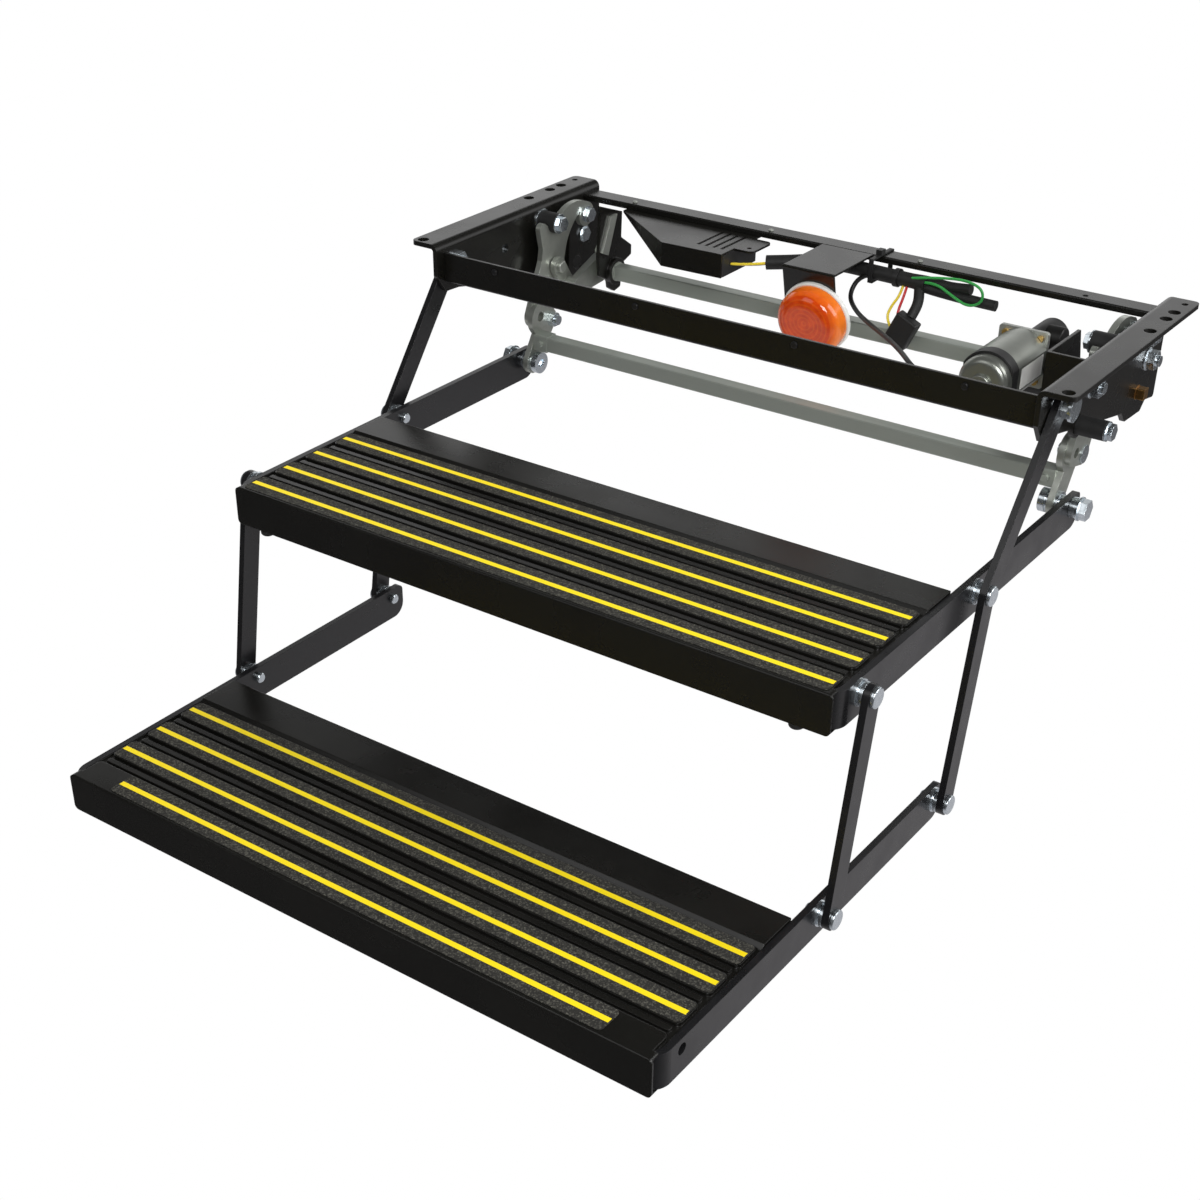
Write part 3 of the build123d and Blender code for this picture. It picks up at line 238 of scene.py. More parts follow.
@dataclass(frozen=True)
class LensFinish(Finish):
    """Clear moulded plastic lens with fine concentric flutes that carry a painted highlight on their
    crests, paler at the rim where it thins.
    """

    flute_mm: float = 4.3426
    flute_height_mm: float = 0.06
    # Pale orange of the painted highlight on the flute crests, and of the rim where the lens thins
    crest_highlight_and_rim_colour: str = "#fb8a2a"
    crest_highlight_range: tuple[float, float] = (0.55, 1.0)
    crest_highlight_share: float = 0.14
    rim_mm: tuple[float, float] = (27.0, 35.0)
    rim_share: float = 0.75
    centre: Spot = (0.0, 0.0, 0.0)
    transmission: float = 0.05
    coat: float = 0.4
    coat_roughness: float = 0.04

    def dress(self, tree: bpy.types.NodeTree, shader: bpy.types.Node) -> None:
        """Adds flutes about the lens axis, a painted highlight on their crests, a paler rim and a little
        light passing through.

        Args:
            tree: The material's node tree.
            shader: Its main shader.
        """
        super().dress(tree, shader)
        shader.inputs["Transmission Weight"].default_value = self.transmission
        shader.inputs["Coat Weight"].default_value = self.coat
        shader.inputs["Coat Roughness"].default_value = self.coat_roughness
        place = add_node(tree, "ShaderNodeTexCoord")
        centred = add_node(tree, "ShaderNodeMapping", {"vector_type": "TEXTURE"}, {
            "Vector": place.outputs["Object"], "Location": self.centre})
        rings = add_node(tree, "ShaderNodeTexWave", {"wave_type": "RINGS", "rings_direction": "Y"}, {
            "Vector": centred.outputs["Vector"],
            "Scale": math.tau / RING_RADIANS / (self.flute_mm * MM)})
        bump = shader.inputs["Normal"].links[0].from_node
        bump.inputs["Distance"].default_value = self.flute_height_mm * MM
        tree.links.new(rings.outputs["Fac"], bump.inputs["Height"])
        # Painted highlight: each flute crest is mixed towards the pale orange
        crest_highlight = add_node(tree, "ShaderNodeMapRange", inputs={
            "Value": rings.outputs["Fac"],
            "From Min": self.crest_highlight_range[0], "From Max": self.crest_highlight_range[1],
            "To Min": 0.0, "To Max": self.crest_highlight_share})
        deep = shader.inputs["Base Color"].links[0].from_socket
        mixed = add_node(tree, "ShaderNodeMix", {"data_type": "RGBA"}, {
            "Factor": crest_highlight.outputs["Result"], COLOUR_A: deep, COLOUR_B: linear(self.crest_highlight_and_rim_colour)})
        reach = add_node(tree, "ShaderNodeVectorMath", {"operation": "LENGTH"}, {
            0: centred.outputs["Vector"]})
        rim = add_node(tree, "ShaderNodeMapRange", inputs={
            "Value": reach.outputs["Value"],
            "From Min": self.rim_mm[0] * MM, "From Max": self.rim_mm[1] * MM,
            "To Min": 0.0, "To Max": self.rim_share})
        edged = add_node(tree, "ShaderNodeMix", {"data_type": "RGBA"}, {
            "Factor": rim.outputs["Result"], COLOUR_A: mixed.outputs[COLOUR_RESULT],
            COLOUR_B: linear(self.crest_highlight_and_rim_colour)})
        tree.links.new(edged.outputs[COLOUR_RESULT], shader.inputs["Base Color"])


@dataclass(frozen=True)
class StudFinish(Finish):
    """Plating that gives way to black paint on the inner side of the mounting flange."""

    flange_mm: float = 310.8
    paint: str = "#11110f"

    def dress(self, tree: bpy.types.NodeTree, shader: bpy.types.Node) -> None:
        """Paints over what lies inside the flange.

        Args:
            tree: The material's node tree.
            shader: Its main shader.
        """
        super().dress(tree, shader)
        place = add_node(tree, "ShaderNodeTexCoord")
        spot = add_node(tree, "ShaderNodeSeparateXYZ", inputs={0: place.outputs["Object"]})
        across = add_node(tree, "ShaderNodeMath", {"operation": "ABSOLUTE"}, {0: spot.outputs["X"]})
        outside = add_node(tree, "ShaderNodeMath", {"operation": "GREATER_THAN"}, {
            0: across.outputs[0], 1: self.flange_mm * MM})
        plating = shader.inputs["Base Color"].links[0].from_socket
        mixed = add_node(tree, "ShaderNodeMix", {"data_type": "RGBA"}, {
            "Factor": outside.outputs[0], COLOUR_A: linear(self.paint), COLOUR_B: plating})
        tree.links.new(mixed.outputs[COLOUR_RESULT], shader.inputs["Base Color"])
        tree.links.new(outside.outputs[0], shader.inputs["Metallic"])


# Powder-coated steel sheet: deep satin black with a faint orange peel and softly rounded folds
SHEET_BLACK = Finish("powder_coat_sheet", "#0e0e0c", "#151411", metallic=0.0, roughness=0.27,
                     roughness_spread=0.04, grain_mm=1.6, grain_height_mm=0.010, cloud_mm=60.0,
                     edge_mm=1.1)
# Powder-coated flat bar: the same paint over rolled stock, a little rougher, in finer clouds; its cooler,
# slightly paler black is a painted reflection of bluish light
BAR_BLACK = Finish("powder_coat_bar", "#121213", "#19191b", metallic=0.0, roughness=0.30,
                   roughness_spread=0.05, grain_mm=1.4, grain_height_mm=0.005, cloud_mm=24.0)
# Black lacquer on the gearbox casting: the same black, dull and sandy
CAST_BLACK = Finish("lacquered_casting", "#0d0d0c", "#141312", metallic=0.0, roughness=0.46,
                    roughness_spread=0.05, grain_mm=1.2, grain_height_mm=0.060, cloud_mm=14.0)
# Bright zinc plating on links and cranks: cool grey metal with dull clouds
ZINC = Finish("bright_zinc_plate", "#bcbfb8", "#9a9e96", metallic=0.8, roughness=0.36,
              roughness_spread=0.08, grain_mm=0.9, grain_height_mm=0.010, cloud_mm=9.0, edge_mm=0.5)
# Bright zinc on bolts, nuts and rivets: smoother and bluer than on the links, with sharp glints
BOLT_ZINC = Finish("bright_zinc_fastener", "#e2e9ee", "#b9c2c8", metallic=0.95, roughness=0.22,
                   roughness_spread=0.06, grain_mm=0.7, grain_height_mm=0.008, cloud_mm=3.5, edge_mm=0.5)
# Drawn square bar, zinc plated: dull grey metal with faint lines along the bar
ZINC_BAR = Finish("zinc_drawn_bar", "#b6bbb3", "#989e96", metallic=0.6, roughness=0.42,
                  roughness_spread=0.06, grain_mm=0.8, grain_height_mm=0.010, cloud_mm=14.0, edge_mm=0.8,
                  stretch=(0.04, 1.0, 1.0))
# Yellow-passivated zinc on the motor's screws: pale brass with darker clouds
YELLOW_ZINC = Finish("yellow_passivated_zinc", "#e6c684", "#c09a52", metallic=0.85, roughness=0.30,
                     roughness_spread=0.08, grain_mm=0.8, grain_height_mm=0.010, cloud_mm=4.0,
                     edge_mm=0.4)
# Pressed square stud: yellow-passivated outside the flange, painted over where its shank ends inside
STUD_ZINC = StudFinish("yellow_passivated_stud", "#c79a5e", "#8f6a3c", metallic=1.0, roughness=0.34,
                       roughness_spread=0.08, grain_mm=0.8, grain_height_mm=0.010, cloud_mm=4.0,
                       edge_mm=0.4)
# Moulded nitrile rubber: matt and very dark
RUBBER = Finish("nitrile_rubber", "#171717", "#202020", metallic=0.0, roughness=0.62,
                roughness_spread=0.05, grain_mm=0.8, grain_height_mm=0.020, cloud_mm=12.0)
# Moulded black ABS: satin, with a fine moulded grain
ABS_BLACK = Finish("moulded_abs_black", "#1c1c1c", "#232323", metallic=0.0, roughness=0.45,
                   roughness_spread=0.04, grain_mm=0.7, grain_height_mm=0.015, cloud_mm=25.0)
# Aluminium die casting: pale satin metal with a sandy skin
CAST_ALUMINIUM = Finish("die_cast_aluminium", "#c9cbc6", "#b0b3ae", metallic=0.8, roughness=0.42,
                        roughness_spread=0.07, grain_mm=0.7, grain_height_mm=0.025, cloud_mm=10.0)
# Zinc-plated drawn steel of the motor can: smooth grey metal with wide, even reflections
CAN_STEEL = Finish("motor_can_steel", "#a6a9a2", "#93968f", metallic=0.85, roughness=0.33,
                   roughness_spread=0.04, grain_mm=0.6, grain_height_mm=0.006, cloud_mm=20.0)
# Moulded white ABS of the lamp base: smooth, with a low gloss
ABS_WHITE = Finish("moulded_abs_white", "#e8e8e4", "#dcdcd8", metallic=0.0, roughness=0.35,
                   roughness_spread=0.03, grain_mm=0.7, grain_height_mm=0.010, cloud_mm=20.0)
# Moulded amber polycarbonate: deep orange and glossy, paler where it thins at the rim; its dark and bright
# clouds are painted shade and highlight of the inner facets, and its flute crests carry a painted highlight
AMBER = LensFinish("amber_polycarbonate", "#ee560e", "#a82403", metallic=0.0, roughness=0.12,
                   roughness_spread=0.02, grain_mm=0.7, grain_height_mm=0.005, cloud_mm=7.0,
                   centre=(0.0125, 0.035, -0.055))
# Mineral grip tape: matt grey-black with pale grains
GRIP = GritFinish("mineral_grip_tape", "#1d1c19", "#272622", metallic=0.0, roughness=0.85,
                  roughness_spread=0.05, grain_mm=0.9, grain_height_mm=0.25, cloud_mm=14.0, edge_mm=0.3)
# Printed yellow line in the grip tape: flat, clear yellow film
YELLOW_LINE = Finish("yellow_safety_line", "#f5dc00", "#ecd002", metallic=0.0, roughness=0.5,
                     roughness_spread=0.04, grain_mm=0.5, grain_height_mm=0.02, cloud_mm=12.0,
                     edge_mm=0.2)
# Woven loom tape: dull black, with a grain as coarse as its weave
LOOM_TAPE = Finish("woven_loom_tape", "#141414", "#222221", metallic=0.0, roughness=0.55,
                   roughness_spread=0.06, grain_mm=0.6, grain_height_mm=0.060, cloud_mm=6.0, edge_mm=0.3)
# Extruded PVC sleeves of the wires: smooth, with a soft sheen, in the colours of the photograph
PVC_BLACK = Finish("pvc_sleeve_black", "#121211", "#1a1a19", metallic=0.0, roughness=0.50,
                   roughness_spread=0.04, grain_mm=0.6, grain_height_mm=0.004, cloud_mm=9.0, edge_mm=0.2)
PVC_GREEN = Finish("pvc_sleeve_green", "#36a04a", "#2a8a3c", metallic=0.0, roughness=0.38,
                   roughness_spread=0.04, grain_mm=0.6, grain_height_mm=0.004, cloud_mm=9.0, edge_mm=0.2)
PVC_YELLOW = Finish("pvc_sleeve_yellow", "#f0d83a", "#dcc22c", metallic=0.0, roughness=0.38,
                    roughness_spread=0.04, grain_mm=0.6, grain_height_mm=0.004, cloud_mm=9.0, edge_mm=0.2)
PVC_RED = Finish("pvc_sleeve_red", "#d8262c", "#b81c22", metallic=0.0, roughness=0.38,
                 roughness_spread=0.04, grain_mm=0.6, grain_height_mm=0.004, cloud_mm=9.0, edge_mm=0.2)
PVC_WHITE = Finish("pvc_sleeve_white", "#dde0e4", "#c8ccd2", metallic=0.0, roughness=0.38,
                   roughness_spread=0.04, grain_mm=0.6, grain_height_mm=0.004, cloud_mm=9.0, edge_mm=0.2)
# Paper label, left bare: flat off-white
LABEL_WHITE = Finish("bare_paper_label", "#ecece8", "#e2e2de", metallic=0.0, roughness=0.55,
                     roughness_spread=0.03, grain_mm=0.4, grain_height_mm=0.003, cloud_mm=10.0,
                     edge_mm=0.1)

NODE_FINISH: dict[str, Finish] = {
    "mount_flange_right": SHEET_BLACK, "mount_flange_left": SHEET_BLACK,
    "front_crossmember": SHEET_BLACK, "rear_crossmember": SHEET_BLACK,
    "bearing_plate_right": SHEET_BLACK, "bearing_plate_left": SHEET_BLACK,
    "upper_tread": SHEET_BLACK, "lower_tread": SHEET_BLACK,
    "motor_bracket": SHEET_BLACK, "shaft_hanger": SHEET_BLACK, "lamp_bracket": SHEET_BLACK,
    "control_hood": SHEET_BLACK,
    "upper_step_arm_right": BAR_BLACK, "upper_step_arm_left": BAR_BLACK,
    "lower_step_arm_right": BAR_BLACK, "lower_step_arm_left": BAR_BLACK,
    "long_link_right": BAR_BLACK, "long_link_left": BAR_BLACK,
    "lower_front_link_right": BAR_BLACK, "lower_front_link_left": BAR_BLACK,
    "upper_grip_strips": GRIP, "lower_grip_strips": GRIP,
    "upper_step_pins": BOLT_ZINC, "lower_step_pins": BOLT_ZINC, "long_link_bolts": BOLT_ZINC,
    "rear_pivot_bolts": BOLT_ZINC, "frame_bolts": BOLT_ZINC, "stop_bolts": BOLT_ZINC,
    "rear_link_fasteners": BOLT_ZINC, "hanger_strap": ZINC,
    "rear_link_plate_right": ZINC, "rear_link_plate_left": ZINC,
    "rear_link_fork_right": ZINC, "rear_link_fork_left": ZINC,
    "drive_link_right": ZINC, "drive_link_left": ZINC, "crank_right": ZINC, "crank_left": ZINC,
    "tie_bar": ZINC_BAR, "torque_bar": ZINC_BAR,
    "square_studs": STUD_ZINC, "motor_screws": YELLOW_ZINC,
    "outer_stop_sleeves": RUBBER, "inner_stop_sleeves": RUBBER, "bump_feet": RUBBER,
    "gearbox": CAST_BLACK, "motor_flange": CAST_ALUMINIUM, "motor_can": CAN_STEEL, "motor_cap": CAN_STEEL,
    "motor_band": ABS_BLACK, "control_box": ABS_BLACK,
    "lamp_ring": ABS_WHITE, "lamp_lens": AMBER,
    "wiring_loom": LOOM_TAPE, "harness_connector": ABS_BLACK, "cable_ties": ABS_BLACK,
    "lamp_cable": PVC_BLACK, "earth_wire": PVC_GREEN, "feed_wires": PVC_YELLOW, "pigtail_wires": PVC_WHITE,
}


def dress_nodes(nodes: dict[str, bpy.types.Object]) -> None:
    """Gives every CAD node its finish.

    Args:
        nodes: CAD nodes by name.
    """
    for name, node in nodes.items():
        node.data.materials.clear()
        node.data.materials.append(NODE_FINISH[name].build())
        LOG.info("%s dressed", name)


def finish_piece(name: str, mesh: bmesh.types.BMesh, finish: Finish, body: str) -> None:
    """Turns a bmesh into a finished piece that rides on a body.

    Args:
        name: The piece's name.
        mesh: Its shape, in the frame's metres; it is used up.
        finish: Its surface.
        body: The body that carries it.
    """
    data = bpy.data.meshes.new(name)
    bmesh.ops.recalc_face_normals(mesh, faces=mesh.faces)
    mesh.to_mesh(data)
    mesh.free()
    data.materials.append(finish.build())
    piece = bpy.data.objects.new(name, data)
    bpy.context.scene.collection.objects.link(piece)
    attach(piece, body)
    LOG.info("%s on %s", name, body)


def add_block(mesh: bmesh.types.BMesh, low: Vector, high: Vector) -> None:
    """Adds a thin block to a bmesh.

    Args:
        mesh: The bmesh that gets it.
        low: Lowest corner.
        high: Highest corner.
    """
    place = Matrix.Translation((low + high) / 2) @ Matrix.Diagonal((*(high - low), 1.0))
    bmesh.ops.create_cube(mesh, size=1.0, matrix=place)


def add_round(mesh: bmesh.types.BMesh, centre: Vector, axis: Vector, radius: float, depth: float,
              crown: float, segments: int = 24) -> None:
    """Adds a round head with a crowned rim; the centre is at the middle of its depth.

    Args:
        mesh: The bmesh that gets it.
        centre: Middle of the head.
        axis: Direction in which it points, of length 1.
        radius: Its radius.
        depth: Its thickness along the axis.
        crown: How far the outer rim is rounded.
        segments: Sides round the axis.
    """
    turn = axis.to_track_quat("Z", "Y").to_matrix().to_4x4()
    made = bmesh.ops.create_cone(mesh, cap_ends=True, segments=segments, radius1=radius, radius2=radius,
                                 depth=depth, matrix=Matrix.Translation(centre) @ turn)
    edges = {edge for vert in made["verts"] for edge in vert.link_edges}
    rim = [edge for edge in edges
           if all(abs((vert.co - centre).dot(axis) - depth / 2) < FACE_TOLERANCE for vert in edge.verts)]
    bmesh.ops.bevel(mesh, geom=rim, offset=crown, offset_type="OFFSET", segments=3, profile=0.5,
                    affect="EDGES", material=-1)


@dataclass
class Tread:
    """The lines in the grip tapes of one tread, and the seams between its panel and its arms."""

    name: str
    body: str
    strips_node: str
    panel_node: str
    arm_node: str
    first_half_length: float
    half_length: float = 0.297
    land_pitch: float = 0.04025
    tape_half_width: float = 0.013
    line_width: float = 0.0052
    line_height: float = 0.00015
    count: int = 4
    seam_x: float = 0.3012
    seam_width: float = 0.0012
    seam_drop: float = 0.0004
    seam_depth: float = 0.003

    def lines(self) -> None:
        """Builds the yellow line along the middle of each tape."""
        low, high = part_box(self.strips_node)
        mesh = bmesh.new()
        for index in range(self.count):
            middle = low[1] + self.tape_half_width + self.land_pitch * index
            reach = self.first_half_length if index == 0 else self.half_length
            add_block(mesh, Vector((-reach, middle - self.line_width / 2, high[2] - self.line_height)),
                      Vector((reach, middle + self.line_width / 2, high[2] + self.line_height)))
        finish_piece(f"{self.name}_yellow_lines", mesh, YELLOW_LINE, self.body)

    def seams(self) -> None:
        """Builds the paint that closes the slit between the panel and each arm."""
        low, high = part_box(self.panel_node)
        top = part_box(self.arm_node)[1][2] - self.seam_drop
        mesh = bmesh.new()
        for side in Side:
            ends = sorted((side.value * self.seam_x, side.value * (self.seam_x + self.seam_width)))
            add_block(mesh, Vector((ends[0], low[1] + self.seam_depth, top - self.seam_depth)),
                      Vector((ends[1], high[1] - self.seam_drop, top)))
        finish_piece(f"{self.name}_side_seams", mesh, SHEET_BLACK, self.body)

    def build(self) -> None:
        """Builds the lines and the seams."""
        self.lines()
        self.seams()


@dataclass
class Frame:
    """Small screws of the crossmembers, washers under the nuts of the webs, and a leg of the strap."""

    front_screw_x: tuple[float, ...] = (-0.2475, -0.0846, 0.0826, 0.2437)
    front_screw_z: float = -0.0167
    front_screw_radius: float = 0.0032
    rear_screw_x: tuple[float, ...] = (-0.2493, -0.085, 0.0796)
    rear_screw_y: float = 0.130
    rear_screw_radius: float = 0.00256
    head_depth: float = 0.0016
    head_crown: float = 0.00096
    washer_spots: tuple[tuple[float, float], ...] = ((0.118, -0.048), (-0.013, -0.031), (0.106, -0.022))
    washer_x: float = 0.315
    washer_radius: float = 0.0105
    washer_depth: float = 0.0013
    washer_crown: float = 0.00039
    washer_segments: int = 36
    strap_x: tuple[float, float] = (-0.258, -0.255)
    strap_outline: tuple[tuple[float, float], ...] = ((0.0955, -0.015), (0.1064, -0.015), (0.0909, -0.0551),
                                                      (0.080, -0.0501))

    def front_screws(self) -> None:
        """Builds the pan heads on the front bar."""
        low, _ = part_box("front_crossmember")
        mesh = bmesh.new()
        for x in self.front_screw_x:
            add_round(mesh, Vector((x, low[1] - self.head_depth / 2, self.front_screw_z)),
                      Vector((0, -1, 0)), self.front_screw_radius, self.head_depth, self.head_crown)
        finish_piece("front_bar_screws", mesh, BAR_BLACK, "frame")

    def rear_screws(self) -> None:
        """Builds the screw tips on the rear bar."""
        _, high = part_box("rear_crossmember")
        mesh = bmesh.new()
        for x in self.rear_screw_x:
            add_round(mesh, Vector((x, self.rear_screw_y, high[2] + self.head_depth / 2)),
                      Vector((0, 0, 1)), self.rear_screw_radius, self.head_depth, self.head_crown)
        finish_piece("rear_bar_screws", mesh, ZINC, "frame")

    def washers(self) -> None:
        """Builds the washers on the outer faces of the webs."""
        mesh = bmesh.new()
        for side in Side:
            for y, z in self.washer_spots:
                add_round(mesh, Vector((side.value * (self.washer_x + self.washer_depth / 2), y, z)),
                          Vector((side.value, 0, 0)), self.washer_radius, self.washer_depth,
                          self.washer_crown, self.washer_segments)
        finish_piece("web_washers", mesh, BOLT_ZINC, "frame")

    def strap_leg(self) -> None:
        """Builds the inner leg of the hanger's strap from its outline."""
        mesh = bmesh.new()
        face = mesh.faces.new([mesh.verts.new((self.strap_x[0], y, z)) for y, z in self.strap_outline])
        leg = bmesh.ops.extrude_face_region(mesh, geom=[face], use_keep_orig=True)
        bmesh.ops.translate(mesh, vec=Vector((self.strap_x[1] - self.strap_x[0], 0, 0)),
                            verts=[item for item in leg["geom"] if isinstance(item, bmesh.types.BMVert)])
        finish_piece("hanger_strap_inner_leg", mesh, ZINC, "frame")

    def build(self) -> None:
        """Builds the screws, the washers and the strap's leg."""
        self.front_screws()
        self.rear_screws()
        self.washers()
        self.strap_leg()


@dataclass
class Motor:
    """Trim of the drive motor."""

    label_margin: float = 0.006
    label_half_height: float = 0.0095
    label_depth: float = 0.0002

    def build(self) -> None:
        """Builds the bare label on the right flat of the can."""
        low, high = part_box("motor_can")
        middle = (low[2] + high[2]) / 2
        mesh = bmesh.new()
        add_block(mesh, Vector((high[0], low[1] + self.label_margin, middle - self.label_half_height)),
                  Vector((high[0] + self.label_depth, high[1] - self.label_margin,
                          middle + self.label_half_height)))
        finish_piece("motor_label", mesh, LABEL_WHITE, "frame")


@dataclass(frozen=True)
class Wire:
    """A free wire or cable: a smooth tube along the route that the CAD solid follows."""

    name: str
    node: str
    finish: Finish
    slot: str
    diameter: float
    length: float
    points: tuple[Spot, ...]
    lay: str = "hanging"
    round_steps: int = 4
    run_steps: int = 10

    def build(self) -> None:
        curve = bpy.data.curves.new(self.name, "CURVE")
        curve.dimensions = "3D"
        curve.bevel_depth = self.diameter / 2
        curve.bevel_resolution = self.round_steps
        curve.resolution_u = self.run_steps
        curve.use_fill_caps = True
        spline = curve.splines.new("NURBS")
        spline.points.add(len(self.points) - 1)
        for point, place in zip(spline.points, self.points):
            point.co = (*place, 1.0)
        spline.order_u = 3
        spline.use_endpoint_u = True
        curve.materials.append(self.finish.build())
        piece = bpy.data.objects.new(self.name, curve)
        bpy.context.scene.collection.objects.link(piece)
        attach(piece, "frame")
        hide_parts(self.node)
        LOG.info("%s laid", self.name)


@dataclass
class Wiring:
    """The free wires between the control module, the lamp and the motor."""

    wire_diameter: float = 0.0026
    lamp_cable_diameter: float = 0.0045
    lamp_cable_length: float = 0.331
    lamp_cable_route: tuple[Spot, ...] = (
        (0.053, 0.110, -0.020), (0.031, 0.108, -0.022), (0.023, 0.098, -0.042), (0.042, 0.078, -0.049),
        (0.078, 0.040, -0.044), (0.118, -0.005, -0.034), (0.156, -0.052, -0.024), (0.188, -0.092, -0.020),
        (0.222, -0.101, -0.0336))
    earth_length: float = 0.157
    earth_route: tuple[Spot, ...] = (
        (0.078, 0.110, -0.019), (0.092, 0.107, -0.015), (0.112, 0.107, -0.011), (0.138, 0.107, -0.008),
        (0.156, 0.107, -0.013), (0.157, 0.107, -0.026), (0.143, 0.107, -0.033), (0.125, 0.107, -0.025),
        (0.108, 0.1075, -0.017), (0.094, 0.110, -0.020))
    yellow_length: float = 0.0486
    yellow_route: tuple[Spot, ...] = (
        (0.074, 0.111, -0.025), (0.075, 0.104, -0.034), (0.069, 0.099, -0.045), (0.067, 0.094, -0.056),
        (0.076, 0.090, -0.064))
    red_length: float = 0.0446
    red_route: tuple[Spot, ...] = (
        (0.078, 0.111, -0.025), (0.079, 0.104, -0.034), (0.077, 0.099, -0.046), (0.078, 0.094, -0.056),
        (0.082, 0.090, -0.063))
    pigtail_length: float = 0.0343
    pigtail_start: Vector = Vector((-0.0945, 0.079, -0.030))
    pigtail_middle: Vector = Vector((-0.080, 0.083, -0.0295))
    pigtail_end: Vector = Vector((-0.062, 0.086, -0.025))
    pigtail_pitch: Vector = Vector((0.0, 0.005, -0.0015))
    pigtail_gather: float = 0.55
    pigtail_finishes: tuple[Finish, ...] = (PVC_YELLOW, PVC_RED, PVC_WHITE, PVC_GREEN)

    def pigtail(self) -> None:
        """Builds the short wires that gather from the control module into the loom."""
        middle = (len(self.pigtail_finishes) - 1) / 2
        for index, finish in enumerate(self.pigtail_finishes):
            offset = self.pigtail_pitch * (index - middle)
            route = (self.pigtail_start + offset, self.pigtail_middle + offset,
                     self.pigtail_end + offset * self.pigtail_gather)
            Wire(f"pigtail_{index + 1}", "pigtail_wires", finish, "wire_mix", self.wire_diameter,
                 self.pigtail_length, tuple(tuple(point) for point in route), "taut").build()

    def build(self) -> None:
        """Builds the lamp cable, the earth loop, the feed wires and the pigtail."""
        Wire("lamp_cable_run", "lamp_cable", PVC_BLACK, "black_plastic", self.lamp_cable_diameter,
             self.lamp_cable_length, self.lamp_cable_route).build()
        Wire("earth_loop", "earth_wire", PVC_GREEN, "green_wire", self.wire_diameter,
             self.earth_length, self.earth_route).build()
        Wire("yellow_feed", "feed_wires", PVC_YELLOW, "wire_mix", self.wire_diameter,
             self.yellow_length, self.yellow_route).build()
        Wire("red_feed", "feed_wires", PVC_RED, "wire_mix", self.wire_diameter,
             self.red_length, self.red_route).build()
        self.pigtail()


@dataclass(frozen=True)
class Softbox:
    """A square studio lamp, its power in watts; gloss shows it only if it glints."""

    name: str
    place: Spot
    target: Spot
    size: float
    power: float
    glints: bool = True

    def build(self) -> None:
        """Hangs the lamp and points it at its target."""
        data = bpy.data.lights.new(self.name, "AREA")
        data.size = self.size
        data.energy = self.power
        holder = bpy.data.objects.new(self.name, data)
        holder.visible_glossy = self.glints
        aim = (Vector(self.target) - Vector(self.place)).to_track_quat("-Z", "Y").to_matrix().to_4x4()
        holder.matrix_world = Matrix.Translation(self.place) @ aim
        bpy.context.scene.collection.objects.link(holder)


